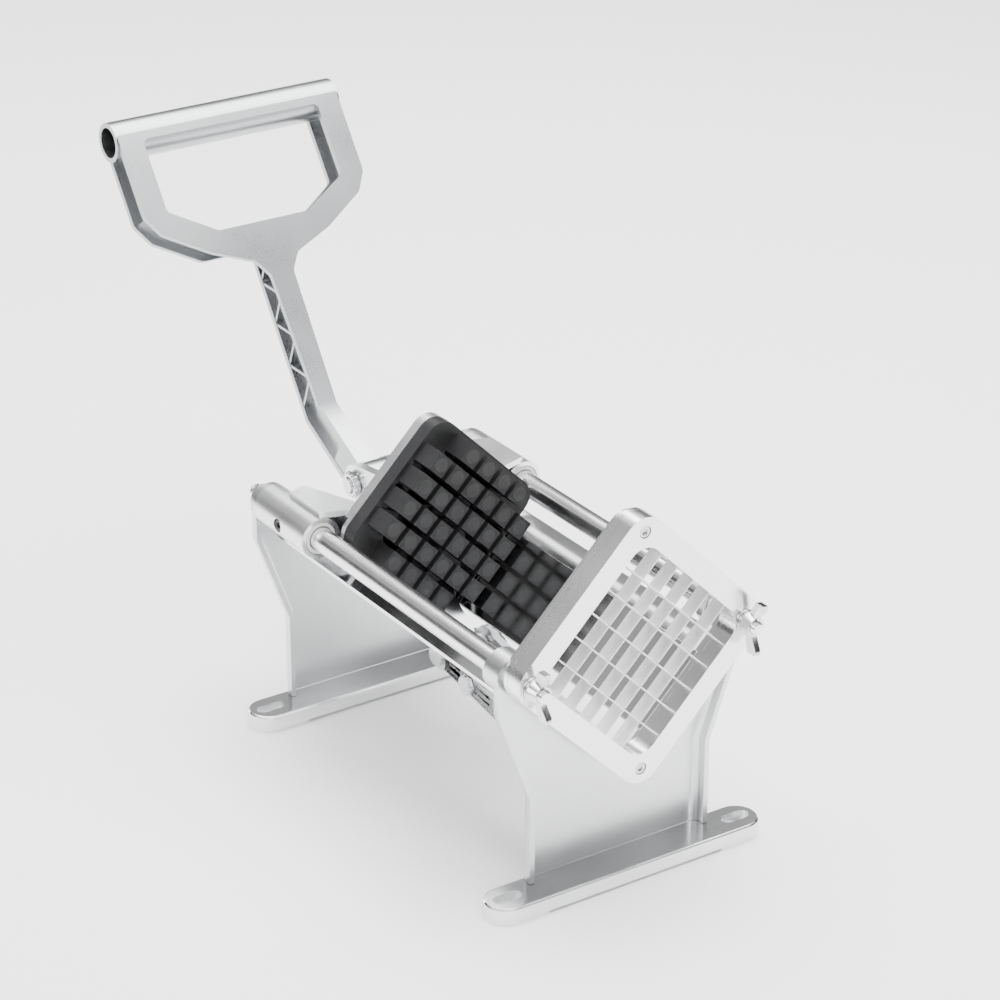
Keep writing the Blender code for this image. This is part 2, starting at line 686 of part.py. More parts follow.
def build_blade_frame(frame, finishes):
    """Make the two square plates that clamp the blades, and their screws."""
    outline = diamond(BLOCK_HALF, BLOCK_CORNER)
    window = diamond(WINDOW_HALF, WINDOW_CORNER)
    front = prism("blade_frame", outline, "Y", BLOCK_FRONT_Y, BLOCK_SPLIT_Y)
    back = prism("blade_frame_back", outline, "Y", BLOCK_SPLIT_Y + GAP, BLOCK_BACK_Y)
    frame.add(front, finishes["polished"])
    frame.add(back, finishes["polished"])
    start = BLOCK_FRONT_Y - OVERRUN
    end = BLOCK_BACK_Y + OVERRUN
    for item in (front, back):
        cutters = [prism("window", window, "Y", start, end)]
        for side in SIDES.values():
            cutters.append(cylinder("stud_hole", STUD_RADIUS + GAP, "Y", (side * ROD_X, 0.0, ROD_Z), start, end))
            place = (0.0, 0.0, HEAD_Z + side * FRAME_SCREW_DROP)
            cutters.append(cylinder("screw_hole", FRAME_SCREW_SHANK + GAP, "Y", place, start, end))
        frame.cut(item, cutters)
    sink = BLOCK_FRONT_Y + FRAME_SCREW_HEAD_HEIGHT + GAP
    for side in SIDES.values():
        place = (0.0, 0.0, HEAD_Z + side * FRAME_SCREW_DROP)
        frame.cut(front, [cylinder("counterbore", FRAME_SCREW_HEAD + GAP, "Y", place, start, sink)])
    for turn in (SQUARE_TURN, -SQUARE_TURN):
        frame.cut(front, [groove_cutter(turn)])
    for end_name, side in (("lower", -1), ("upper", 1)):
        place = (0.0, 0.0, HEAD_Z + side * FRAME_SCREW_DROP)
        frame.add(frame_screw(f"blade_frame_screw_{end_name}", place), finishes["fastener"])


def frame_screw(name, place):
    """Return one cap screw that reaches from the front plate into the head plate."""
    seat = BLOCK_FRONT_Y + FRAME_SCREW_HEAD_HEIGHT
    end = HEAD_BACK_Y - GAP
    profile = [
        (0.0, BLOCK_FRONT_Y + GAP),
        (FRAME_SCREW_HEAD, BLOCK_FRONT_Y + GAP),
        (FRAME_SCREW_HEAD, seat),
        (FRAME_SCREW_SHANK, seat),
        (FRAME_SCREW_SHANK, end),
        (0.0, end),
    ]
    return turned(name, profile, "Y", place, SMALL_SIDES)


def blade_offsets():
    """Return the blades' distances from the grid's centre line."""
    return [BLADE_PITCH * (index - CELLS / 2) for index in range(1, CELLS)]


def grid_matrix(turn):
    """Return the matrix from (along, across, depth) of one blade set to bench places."""
    spin = Matrix.Rotation(turn, 4, "Y")
    return Matrix.Translation((0.0, 0.0, HEAD_Z)) @ spin @ frame_matrix("Y")


def groove_cutter(turn):
    """Return the grooves that hold one set of blades, open to the back plate."""
    reach = WINDOW_HALF + GROOVE_DEPTH
    half = BLADE_THICKNESS / 2 + GAP
    start = BLOCK_SPLIT_Y - BLADE_DEPTH - GAP
    bars = []
    for offset in blade_offsets():
        outline = [(-reach, offset - half), (reach, offset - half), (reach, offset + half), (-reach, offset + half)]
        bars.append(prism("bar", outline, "Y", start, BLOCK_SPLIT_Y + OVERRUN, grid_matrix(turn)))
    return joined("grooves", bars)


def build_blades(frame, finishes):
    """Make two crossed sets of blades, halved into each other like an egg crate."""
    reach = WINDOW_HALF + GROOVE_DEPTH - GAP
    front = BLOCK_SPLIT_Y - BLADE_DEPTH
    back = BLOCK_SPLIT_Y
    middle = (front + back) / 2
    notch = BLADE_THICKNESS / 2 + GAP
    for set_name, turn, open_end, shut_end, sign in (
        ("rising", -SQUARE_TURN, front, back, 1),
        ("falling", SQUARE_TURN, back, front, -1),
    ):
        for index, offset in enumerate(blade_offsets()):
            outline = [(-reach, shut_end), (reach, shut_end), (reach, open_end)]
            for cross in reversed(blade_offsets()):
                outline += [(cross + notch, open_end), (cross + notch, middle + sign * GAP)]
                outline += [(cross - notch, middle + sign * GAP), (cross - notch, open_end)]
            outline.append((-reach, open_end))
            name = f"blade_{set_name}_{index + 1}"
            spin = Matrix.Rotation(turn, 4, "Y")
            matrix = Matrix.Translation((0.0, 0.0, HEAD_Z)) @ spin
            start = offset - BLADE_THICKNESS / 2
            end = offset + BLADE_THICKNESS / 2
            blade = prism(name, outline, "Z", start, end, matrix)
            frame.add(blade, finishes["blade"])


# Guide rods and nuts


def build_rods(frame, finishes):
    """Make both guide rods with their threaded ends, washers and domed nuts."""
    tip_back = BOSS_BACK_Y + GAP + WASHER_THICKNESS + GAP + DOME_NUT_BORE - GAP
    for side_name, side in SIDES.items():
        centre = (side * ROD_X, 0.0, ROD_Z)
        profile = [
            (0.0, FRONT_END_Y),
            (STUD_RADIUS - STUD_CHAMFER, FRONT_END_Y),
            (STUD_RADIUS, FRONT_END_Y + STUD_CHAMFER),
            (STUD_RADIUS, ROD_FRONT_Y),
            (ROD_RADIUS, ROD_FRONT_Y),
            (ROD_RADIUS, ROD_BACK_Y),
            (STUD_RADIUS, ROD_BACK_Y),
            (STUD_RADIUS, tip_back),
            (0.0, tip_back),
        ]
        rod = turned(f"guide_rod_{side_name}", profile, "Y", centre, ROD_SIDES)
        frame.add(rod, finishes["steel"])
        start = BOSS_BACK_Y + GAP
        washer = ring(
            f"rod_washer_{side_name}", STUD_RADIUS + GAP, WASHER_RADIUS, "Y", centre, start, start + WASHER_THICKNESS
        )
        frame.add(washer, finishes["fastener"])
        nut = dome_nut(f"rod_nut_{side_name}", centre, start + WASHER_THICKNESS + GAP)
        frame.add(nut, finishes["steel"])
        seat = BLOCK_FRONT_Y - GAP
        washer = ring(
            f"wing_washer_{side_name}", STUD_RADIUS + GAP, WASHER_RADIUS, "Y", centre, seat - WASHER_THICKNESS, seat
        )
        frame.add(washer, finishes["fastener"])


def dome_nut(name, centre, start):
    """Return a domed cap nut with its blind bore towards the front."""
    bore = STUD_RADIUS + GAP
    skirt = start + DOME_NUT_HEX
    rise = DOME_NUT_LENGTH - DOME_NUT_HEX
    profile = [(0.0, start + DOME_NUT_BORE), (bore, start + DOME_NUT_BORE), (bore, start)]
    profile += [(DOME_NUT_RADIUS, start), (DOME_NUT_RADIUS, skirt)]
    for step in range(1, CORNER_STEPS + 1):
        angle = math.pi / 2 * step / CORNER_STEPS
        profile.append((DOME_NUT_RADIUS * math.cos(angle), skirt + rise * math.sin(angle)))
    profile[-1] = (0.0, skirt + rise)
    return turned(name, profile, "Y", centre, SMALL_SIDES)


def build_wing_nut(frame, side_name, finishes):
    """Make one wing nut, whose own origin is on the stud's axis."""
    side = SIDES[side_name]
    seat = WING_SEAT_Y
    tip = seat - WING_HUB_LENGTH
    centre = Vector((side * ROD_X, 0.0, ROD_Z))
    body = Body(f"wing_nut_{side_name}_axis", (centre.x, seat, centre.z), frame)
    profile = [(0.0, tip), (WING_HUB_TIP, tip), (WING_HUB_BASE, seat), (0.0, seat)]
    nut = turned(f"wing_nut_{side_name}", profile, "Y", centre, SMALL_SIDES)
    body.add(nut, finishes["fastener"])
    wing = [
        (STUD_RADIUS, seat - SINK),
        (WING_HUB_BASE + SINK, seat - SINK),
        (WING_REACH, WING_END_Y + WING_CHORD),
        (WING_REACH, WING_END_Y),
        (WING_REACH - WING_CHORD / 2, WING_END_Y),
        (STUD_RADIUS, tip + SINK),
    ]
    turn = Matrix.Rotation(WING_TURNS[side_name], 4, "Y")
    for flip in (0.0, math.pi):
        spin = Matrix.Translation(centre) @ turn @ Matrix.Rotation(flip, 4, "Y")
        body.union(nut, [prism("wing", wing, "Z", -WING_THICKNESS / 2, WING_THICKNESS / 2, spin)])
    bore = cylinder("bore", STUD_RADIUS + GAP, "Y", centre, tip - OVERRUN, seat + OVERRUN)
    body.cut(nut, [bore])


# Potato bed


def build_bed(frame, finishes):
    """Make the two polished sheets of the W-shaped bed, with the lever's slot between them."""
    valley = HEAD_Z - WINDOW_REACH
    under = HEAD_Z - BED_OUTER / math.cos(SQUARE_TURN)
    top = valley + BED_WALL_TOP
    fold = top - BED_SHEET - under
    outline = [
        (BED_SLOT_HALF, valley + BED_SLOT_HALF),
        (BED_WALL_TOP, top),
        (BED_FLANGE_HALF, top),
        (BED_FLANGE_HALF, top - BED_SHEET),
        (fold, top - BED_SHEET),
        (BED_SLOT_HALF + BED_SHEET / 2, under + BED_SLOT_HALF + BED_SHEET / 2),
    ]
    rear_edge = FOOT_SPACING + LEG_FRONT_Y - GAP
    for side_name, side in SIDES.items():
        points = [(side * x, z) for x, z in outline]
        sheet = prism(f"bed_{side_name}", points, "Y", BLOCK_BACK_Y + GAP, BED_BACK_Y)
        frame.add(sheet, finishes["polished"])
        edge_x = side * (BED_FLANGE_HALF + OVERRUN)
        near, far = sorted((side * BED_CUT_HALF, edge_x))
        post_near, post_far = sorted((side * (ROD_X - REAR_BOSS_RADIUS - GAP), edge_x))
        low = top - BED_SHEET - OVERRUN
        front_y = LEG_BACK_Y + 2 * GAP
        frame.cut(sheet, [
            box("front_notch", (near, -OVERRUN, low), (far, front_y, top + OVERRUN)),
            box("rear_notch", (post_near, rear_edge, low), (post_far, BED_BACK_Y + OVERRUN, top + OVERRUN)),
            cylinder("hole", BED_SCREW_SHANK + GAP, "Z", (side * BED_SCREW_X, BED_SCREW_Y, 0.0), low, top + OVERRUN),
        ])
    for side_name, side in SIDES.items():
        seat = top + GAP
        profile = [
            (0.0, top - BED_SHEET - LEDGE_DROP - BED_SCREW_REACH + GAP),
            (BED_SCREW_SHANK, top - BED_SHEET - LEDGE_DROP - BED_SCREW_REACH + GAP),
            (BED_SCREW_SHANK, seat),
            (BED_SCREW_HEAD, seat),
            (BED_SCREW_HEAD, seat + BED_SCREW_HEAD_HEIGHT),
            (0.0, seat + BED_SCREW_HEAD_HEIGHT),
        ]
        place = (side * BED_SCREW_X, BED_SCREW_Y, 0.0)
        screw = turned(f"bed_screw_{side_name}", profile, "Z", place, SMALL_SIDES)
        frame.add(screw, finishes["fastener"])


# Carriage and pusher


def gusset(side):
    """Return a hollow bracket that ties a bush to the pusher plate, open to the front."""
    low = ROD_Z - GUSSET_DROP
    high = ROD_Z + GUSSET_RISE
    root = PLATE_BACK_Y - SINK
    back = BUSH_FRONT_Y + GUSSET_REACH
    plan = [
        (GUSSET_INNER_X, root),
        (GUSSET_OUTER_X, root),
        (ROD_X, BUSH_FRONT_Y + SINK),
        (ROD_X, back),
        (GUSSET_BACK_X, back + GUSSET_TOE),
    ]
    pocket = [
        (GUSSET_INNER_X + GUSSET_RIB, root - OVERRUN),
        (ROD_X + OVERRUN, root - OVERRUN),
        (ROD_X + OVERRUN, back - GUSSET_RIB),
        (GUSSET_BACK_X + OVERRUN, back - GUSSET_RIB),
        (GUSSET_INNER_X + GUSSET_RIB, root),
    ]
    solid = prism("gusset", [(side * x, y) for x, y in plan], "Z", low, high)
    hole = prism("gusset_pocket", [(side * x, y) for x, y in pocket], "Z", low + GUSSET_WALL, high - GUSSET_WALL)
    return solid, hole


def cheek_outline():
    """Return the side view of a hub cheek, from the plate to the lever's pivot."""
    root = PLATE_BACK_Y - SINK
    arc = [
        (PIVOT_Y + CHEEK_RADIUS * math.cos(angle), PIVOT_Z + CHEEK_RADIUS * math.sin(angle))
        for angle in (CHEEK_ARC * (1 / 2 - step / CHEEK_STEPS) for step in range(CHEEK_STEPS + 1))
    ]
    return [(root, PIVOT_Z - CHEEK_ROOT_HALF), (root, PIVOT_Z + CHEEK_ROOT_HALF)] + arc


def build_carriage(carriage, finishes):
    """Make the casting that slides on the rods: plate, two bushes, gussets and hub cheeks."""
    plate = prism("carriage", diamond(PUSHER_HALF, PUSHER_CORNER), "Y", PLATE_FRONT_Y, PLATE_BACK_Y)
    carriage.add(plate, finishes["cast"])
    for side in SIDES.values():
        solid, hole = gusset(side)
        carriage.union(plate, [solid])
        carriage.cut(plate, [hole])
    for side in SIDES.values():
        near, far = sorted((side * CHEEK_GAP_HALF, side * CHEEK_OUTER))
        centre = (side * ROD_X, 0.0, ROD_Z)
        bush = cylinder("bush", BUSH_RADIUS, "Y", centre, BUSH_FRONT_Y, BUSH_BACK_Y, BUSH_SIDES)
        carriage.union(plate, [bush, prism("cheek", cheek_outline(), "X", near, far)])
    notch = box(
        "notch",
        (-NOTCH_HALF, PLATE_FRONT_Y - OVERRUN, HEAD_Z - 2 * PUSHER_HALF),
        (NOTCH_HALF, PLATE_BACK_Y + OVERRUN, PLATE_NOTCH_TOP),
    )
    cutters = [notch, cylinder("pivot_bore", PIVOT_PIN_RADIUS + GAP, "X", PIVOT, -ROD_X / 2, ROD_X / 2)]
    for side in SIDES.values():
        centre = (side * ROD_X, 0.0, ROD_Z)
        start = BUSH_FRONT_Y - OVERRUN
        cutters.append(cylinder("bore", BUSH_BORE, "Y", centre, start, BUSH_BACK_Y + OVERRUN, ROD_SIDES))
        near, far = sorted((side * ROD_X, side * (ROD_X + BUSH_RADIUS + OVERRUN)))
        place = (0.0, LINER_SCREW_Y, ROD_Z)
        cutters.append(cylinder("screw_hole", LINER_SCREW_HOLE, "X", place, near, far))
    for place in pusher_screw_places():
        start = PLATE_FRONT_Y - OVERRUN
        cutters.append(cylinder("hole", PUSHER_SCREW_SHANK + GAP, "Y", place, start, PLATE_BACK_Y + OVERRUN))
    carriage.cut(plate, cutters)


def build_liners(carriage, finishes):
    """Make the two bush liners and the screws that lock them."""
    for side_name, side in SIDES.items():
        centre = (side * ROD_X, 0.0, ROD_Z)
        liner = ring(
            f"bush_liner_{side_name}", LINER_BORE, BUSH_BORE - GAP, "Y", centre, BUSH_FRONT_Y, BUSH_BACK_Y, ROD_SIDES
        )
        carriage.add(liner, finishes["liner"])
        start = side * (ROD_X + BUSH_BORE)
        near, far = sorted((start, start + side * LINER_SCREW_THICKNESS))
        place = (0.0, LINER_SCREW_Y, ROD_Z)
        screw = cylinder(f"liner_screw_{side_name}", LINER_SCREW_HOLE - GAP, "X", place, near, far)
        carriage.add(screw, finishes["fastener"])


def pusher_screw_places():
    """Return the centres of the four screws that hold the pusher block."""
    return [
        (across * PUSHER_SCREW_X, 0.0, HEAD_Z + rise * PUSHER_SCREW_RISE)
        for across in SIDES.values()
        for rise in SIDES.values()
    ]


def build_pusher(carriage, finishes):
    """Make the black pusher block with its square pins, and its screws."""
    block = prism("pusher_block", diamond(PUSHER_HALF, PUSHER_CORNER), "Y", BASE_FRONT_Y, BASE_BACK_Y)
    carriage.add(block, finishes["plastic"])
    steps = [index - (CELLS - 1) / 2 for index in range(CELLS)]
    corner = (CELLS - 1) / 2
    half = PIN_SIDE / 2
    pins = []
    for row in steps:
        for column in steps:
            if abs(row) == corner and abs(column) == corner:
                continue
            u, v = column * BLADE_PITCH, row * BLADE_PITCH
            outline = [(u - half, v - half), (u + half, v - half), (u + half, v + half), (u - half, v + half)]
            pins.append(prism("pin", outline, "Y", PIN_TIP_Y, BASE_FRONT_Y + SINK, grid_matrix(SQUARE_TURN)))
    carriage.union(block, [joined("pins", pins)])
    low = (-NOTCH_HALF, BASE_FRONT_Y - GAP, HEAD_Z - 2 * PUSHER_HALF)
    cutters = [box("notch", low, (NOTCH_HALF, BASE_BACK_Y + OVERRUN, BASE_NOTCH_TOP))]
    depth = PLATE_BACK_Y - PLATE_THICKNESS - PUSHER_SCREW_REACH
    for place in pusher_screw_places():
        cutters.append(cylinder("hole", PUSHER_SCREW_SHANK + GAP, "Y", place, depth - GAP, BASE_BACK_Y + OVERRUN))
    carriage.cut(block, cutters)
    for index, place in enumerate(pusher_screw_places()):
        seat = PLATE_BACK_Y + GAP
        profile = [
            (0.0, depth),
            (PUSHER_SCREW_SHANK, depth),
            (PUSHER_SCREW_SHANK, seat),
            (PUSHER_SCREW_HEAD, seat),
            (PUSHER_SCREW_HEAD, seat + PUSHER_SCREW_HEAD_HEIGHT),
            (0.0, seat + PUSHER_SCREW_HEAD_HEIGHT),
        ]
        screw = turned(f"pusher_screw_{index + 1}", profile, "Y", place, SMALL_SIDES)
        carriage.add(screw, finishes["fastener"])


def build_lever_pin(carriage, finishes):
    """Make the bolt that the lever swings on, and its nut."""
    seat = CHEEK_OUTER + GAP
    end = seat + PIVOT_HEAD_HEIGHT
    tail = -end - SINK
    profile = [
        (0.0, tail),
        (PIVOT_PIN_RADIUS, tail),
        (PIVOT_PIN_RADIUS, seat),
        (PIVOT_HEAD_RADIUS, seat),
        (PIVOT_HEAD_RADIUS, end),
        (0.0, end),
    ]
    carriage.add(turned("lever_pin", profile, "X", PIVOT, SMALL_SIDES), finishes["fastener"])
    bore = PIVOT_PIN_RADIUS + GAP
    add_hex_nut(carriage, "lever_pin_nut", PIVOT, bore, PIVOT_HEAD_RADIUS, -end, -seat, finishes["fastener"])


# Lever


def lever_face_half():
    """Return the right side of the lever's face, as (x, distance above the bend)."""
    return [
        (STEM_BEND_HALF, -SINK),
        (STEM_TOP_HALF, STEM_TOP),
        (NECK_HALF, NECK_TOP),
        (LOOP_SHOULDER_HALF, LOOP_SHOULDER),
        (LOOP_HIP_HALF, LOOP_HIP),
        (LOOP_SIDE_HALF, LOOP_SIDE),
        (LOOP_SIDE_HALF, GRIP_CENTRE),
    ]


def lever_hole_half(margin=0.0):
    """Return the right side of the hand hole, grown by a margin."""
    outline = mirrored([
        (HOLE_BOTTOM_HALF, HOLE_BOTTOM),
        (HOLE_SIDE_HALF, HOLE_SIDE),
        (HOLE_SIDE_HALF, HOLE_TOP),
    ])
    return inset(outline, -margin) if margin else outline


def upper_matrix():
    """Return the matrix from (x, distance above the bend, depth) to bench places."""
    columns = (Vector((1.0, 0.0, 0.0)), UPPER_ALONG, UPPER_BACK)
    return Matrix.Translation(BEND) @ Matrix(columns).transposed().to_4x4()


def side_points(pairs, origin, along, back):
    """Return (y, z) points from (distance along, depth) pairs of a lever segment."""
    places = [origin + along * distance + back * depth for distance, depth in pairs]
    return [(place.y, place.z) for place in places]


def bend_back():
    """Return the back point of the bend, where both segments' back faces meet."""
    return BEND + (UPPER_BACK + LOWER_BACK) * LEVER_DEPTH / (1 + UPPER_BACK.dot(LOWER_BACK))


def arm_outline():
    """Return the side view of the solid arm, from below the bend to the tip."""
    arm = (TIP - PIVOT).normalized()
    up = Vector((0.0, arm.z, -arm.y))
    radius = TIP_EYE_RADIUS - TIP_RELIEF
    top = TIP + up * radius
    bottom = TIP - up * radius
    knee = BEND - LOWER_ALONG * ARM_STRAIGHT
    under = bend_back() - LOWER_ALONG * ARM_UNDER
    shoulder_top = BEND - LOWER_ALONG * ARM_STRAIGHT * ARM_SHOULDER_SHARE
    shoulder_low = shoulder_top + LOWER_BACK * LEVER_DEPTH
    places = [shoulder_top, knee, top, bottom, under, shoulder_low]
    return [(place.y, place.z) for place in places]


def flange_tools():
    """Return the front and back flanges of the stem below the hand loop."""
    inner = LEVER_FLANGE
    arm_end = -ARM_STRAIGHT / 2
    miter = bend_back()
    front_low = side_points([(arm_end, 0.0), (0.0, 0.0)], BEND, LOWER_ALONG, LOWER_BACK)
    front_inner = side_points([(0.0, inner), (arm_end, inner)], BEND, LOWER_ALONG, LOWER_BACK)
    back_low = side_points([(arm_end, LEVER_DEPTH), (arm_end, LEVER_DEPTH - inner)], BEND, LOWER_ALONG, LOWER_BACK)
    bend_inner = BEND + (UPPER_BACK + LOWER_BACK) * (LEVER_DEPTH - inner) / (1 + UPPER_BACK.dot(LOWER_BACK))
    back_high = side_points(
        [(LOOP_SHOULDER, LOOP_DEPTH - inner), (LOOP_SHOULDER, LOOP_DEPTH)], BEND, UPPER_ALONG, UPPER_BACK
    )
    back = back_low + [(bend_inner.y, bend_inner.z)] + back_high + [(miter.y, miter.z)]
    half = STEM_BEND_HALF
    return [
        prism("front_flange", front_low + front_inner, "X", -LEVER_ARM_HALF, LEVER_ARM_HALF),
        prism("back_flange", back, "X", -half, half),
    ]


def web_tool():
    """Return the thin web between the stem's flanges."""
    arm_end = -ARM_STRAIGHT / 2
    low = side_points([(arm_end, SINK), (arm_end, LEVER_DEPTH - SINK)], BEND, LOWER_ALONG, LOWER_BACK)
    high = side_points([(LOOP_SHOULDER, LOOP_DEPTH - SINK), (LOOP_SHOULDER, SINK)], BEND, UPPER_ALONG, UPPER_BACK)
    back = BEND + (UPPER_BACK + LOWER_BACK) * (LEVER_DEPTH - SINK) / (1 + UPPER_BACK.dot(LOWER_BACK))
    front = BEND + (UPPER_BACK + LOWER_BACK) * SINK / (1 + UPPER_BACK.dot(LOWER_BACK))
    outline = low + [(back.y, back.z)] + high + [(front.y, front.z)]
    return prism("web", outline, "X", -LEVER_WEB_HALF, LEVER_WEB_HALF)


def rib_tools():
    """Return the zig-zag ribs that stiffen both sides of the stem's web."""
    front = SINK
    back = LEVER_DEPTH - LEVER_FLANGE / 2
    step = NECK_TOP / LEVER_RIBS
    half = STEM_BEND_HALF - GAP
    tools = []
    for index in range(LEVER_RIBS):
        start, end = (front, back) if index % 2 else (back, front)
        low = index * step + LEVER_RIB
        high = (index + 1) * step + LEVER_RIB
        depth_end = min(end, LOOP_DEPTH - LEVER_FLANGE / 2) if end > start else end
        pairs = [(low, start), (low + LEVER_RIB, start), (high + LEVER_RIB, depth_end), (high, depth_end)]
        tools.append(prism("rib", side_points(pairs, BEND, UPPER_ALONG, UPPER_BACK), "X", -half, half))
    return tools


def build_lever(lever, finishes):
    """Make the cast lever: hand loop, hollow grip, ribbed stem, arm, pivot boss and tip eye."""
    matrix = upper_matrix()
    radii = [0.0, LOOP_ROUND, NECK_ROUND, SHOULDER_ROUND, NECK_ROUND, LOOP_ROUND, 0.0]
    face = rounded(mirrored(lever_face_half()), radii + radii[::-1])
    body = prism("lever", face, "Y", 0.0, LEVER_FLANGE, matrix)
    lever.add(body, finishes["cast"])
    loop = mirrored([point for point in lever_face_half() if point[1] > NECK_TOP + SINK])
    loop_radii = [LOOP_ROUND, NECK_ROUND, LOOP_ROUND, 0.0]
    loop_face = rounded(loop, loop_radii + loop_radii[::-1])
    web_ring = inset(loop, LOOP_WEB_INSET)
    lever.union(body, [
        prism("loop_back", loop_face, "Y", LOOP_DEPTH - LEVER_FLANGE, LOOP_DEPTH, matrix),
        prism("loop_web", web_ring, "Y", SINK, LOOP_DEPTH - SINK, matrix),
    ])
    hole = rounded(lever_hole_half(), HOLE_ROUND)
    lever.cut(body, [prism("hand_hole", hole, "Y", -OVERRUN, LOOP_DEPTH + OVERRUN, matrix)])
    groove_outer = lever_hole_half(LOOP_WEB_INSET)
    lever.cut(body, [prism("hole_groove", groove_outer, "Y", LEVER_FLANGE, LOOP_DEPTH - LEVER_FLANGE, matrix)])
    grip = cylinder("grip", GRIP_RADIUS, "X", GRIP_AXIS, -GRIP_HALF, GRIP_HALF, ROD_SIDES)
    arm = prism("arm", arm_outline(), "X", -LEVER_ARM_HALF, LEVER_ARM_HALF)
    eye = cylinder("eye", TIP_EYE_RADIUS, "X", TIP, -TIP_EYE_HALF, TIP_EYE_HALF, ROD_SIDES)
    boss = cylinder("boss", PIVOT_BOSS_RADIUS, "X", PIVOT, -PIVOT_BOSS_HALF, PIVOT_BOSS_HALF, ROD_SIDES)
    lever.union(body, [grip, arm, eye, boss] + flange_tools() + [web_tool()] + rib_tools())
    lever.cut(body, [
        cylinder("grip_bore", GRIP_BORE, "X", GRIP_AXIS, -GRIP_HALF - OVERRUN, GRIP_HALF + OVERRUN, ROD_SIDES),
        cylinder("pivot_bore", PIVOT_PIN_RADIUS + GAP, "X", PIVOT, -ROD_X / 2, ROD_X / 2),
        cylinder("tip_bore", LINK_PIN_RADIUS + GAP, "X", TIP, -ROD_X / 2, ROD_X / 2),
    ])
    reach = LINK_INNER - GAP
    pin = cylinder("lever_tip_pin", LINK_PIN_RADIUS, "X", TIP, -reach, reach)
    lever.add(pin, finishes["fastener"])


# Links


def build_links(links, frame, finishes):
    """Make the two link arms that anchor the lever's tip to the front stand."""
    span = TIP - LINK_PIVOT
    spacer = LINK_PIVOT + span * LINK_SPACER_SHARE
    slope = math.atan2(span.z, span.y)
    half = LINK_HEIGHT / 2
    length = span.length
    turn = Matrix.Translation(LINK_PIVOT) @ Matrix.Rotation(slope, 4, "X") @ frame_matrix("X")
    bar = [(0.0, -half), (length, -half), (length, half), (0.0, half)]
    edge = LINK_RECESS_EDGE
    clear = LINK_EYE_RADIUS + edge
    recess = rounded(
        [(clear, -half + edge), (length - clear, -half + edge), (length - clear, half - edge), (clear, half - edge)],
        edge,
    )
    for side_name, side in SIDES.items():
        near, far = sorted((side * LINK_INNER, side * LINK_OUTER))
        arm = prism(f"link_{side_name}", bar, "X", near, far, turn)
        links.add(arm, finishes["cast"])
        eyes = [
            cylinder("eye", LINK_EYE_RADIUS, "X", place, near, far, ROD_SIDES) for place in (LINK_PIVOT, TIP)
        ]
        links.union(arm, eyes)
        low, high = sorted((side * (LINK_OUTER - LINK_RECESS_DEPTH), side * (LINK_OUTER + OVERRUN)))
        cutters = [prism("recess", recess, "X", low, high, turn)]
        for place, radius in ((LINK_PIVOT, LINK_PIN_RADIUS), (TIP, LINK_PIN_RADIUS), (spacer, LINK_SPACER_BOLT)):
            cutters.append(cylinder("bore", radius + GAP, "X", place, near - OVERRUN, far + OVERRUN))
        links.cut(arm, cutters)
    inner = LINK_INNER - GAP
    tube = ring("link_spacer", LINK_SPACER_BOLT + GAP, LINK_SPACER_RADIUS, "X", spacer, -inner, inner)
    links.add(tube, finishes["fastener"])
    add_bolt(links, "link_spacer", spacer, LINK_SPACER_BOLT, LINK_OUTER + GAP, finishes)
    add_bolt(frame, "link_front", LINK_PIVOT, LINK_PIN_RADIUS, LINK_OUTER + GAP, finishes)
    for side_name, side in SIDES.items():
        links.add(tip_stub(f"link_rear_bolt_{side_name}", side), finishes["fastener"])


def tip_stub(name, side):
    """Return the headed half bolt in one link's rear eye, clear of the lever's own pin."""
    seat = LINK_OUTER + GAP
    profile = [
        (0.0, side * LINK_INNER),
        (LINK_PIN_RADIUS, side * LINK_INNER),
        (LINK_PIN_RADIUS, side * seat),
        (LINK_HEAD_RADIUS, side * seat),
        (LINK_HEAD_RADIUS, side * (seat + LINK_HEAD_HEIGHT)),
        (0.0, side * (seat + LINK_HEAD_HEIGHT)),
    ]
    return turned(name, profile, "X", TIP, SMALL_SIDES)


def add_bolt(body, name, place, radius, seat, finishes):
    """Add a headed cross bolt and its nut around two link arms."""
    end = seat + LINK_HEAD_HEIGHT
    profile = [
        (0.0, -end - SINK),
        (radius, -end - SINK),
        (radius, seat),
        (LINK_HEAD_RADIUS, seat),
        (LINK_HEAD_RADIUS, end),
        (0.0, end),
    ]
    mirrored_profile = [(r, -along) for r, along in reversed(profile)]
    body.add(turned(f"{name}_bolt", mirrored_profile, "X", place, SMALL_SIDES), finishes["fastener"])
    add_hex_nut(body, f"{name}_nut", place, radius + GAP, LINK_HEAD_RADIUS, seat, end, finishes["fastener"])


# Whole machine


def clear_scene():
    """Remove every object that the file opened with."""
    for item in list(bpy.data.objects):
        bpy.data.objects.remove(item)


def main():
    """Build the machine, body by body."""
    clear_scene()
    finishes = make_materials()
    frame = Body("machine_origin", (0.0, ORIGIN_Y, 0.0))
    carriage = Body("carriage_slide_axis", (0.0, BUSH_FRONT_Y, ROD_Z), frame)
    lever = Body("lever_swing_axis", PIVOT, carriage)
    links = Body("link_swing_axis", LINK_PIVOT, frame)
    build_foot("front_foot", 0.0, frame, finishes)
    build_foot("rear_foot", FOOT_SPACING, frame, finishes)
    build_front_leg(frame, finishes)
    build_rear_leg(frame, finishes)
    build_blade_frame(frame, finishes)
    build_blades(frame, finishes)
    build_rods(frame, finishes)
    for side_name in SIDES:
        build_wing_nut(frame, side_name, finishes)
    build_bed(frame, finishes)
    build_carriage(carriage, finishes)
    build_liners(carriage, finishes)
    build_pusher(carriage, finishes)
    build_lever_pin(carriage, finishes)
    build_lever(lever, finishes)
    build_links(links, frame, finishes)


main()
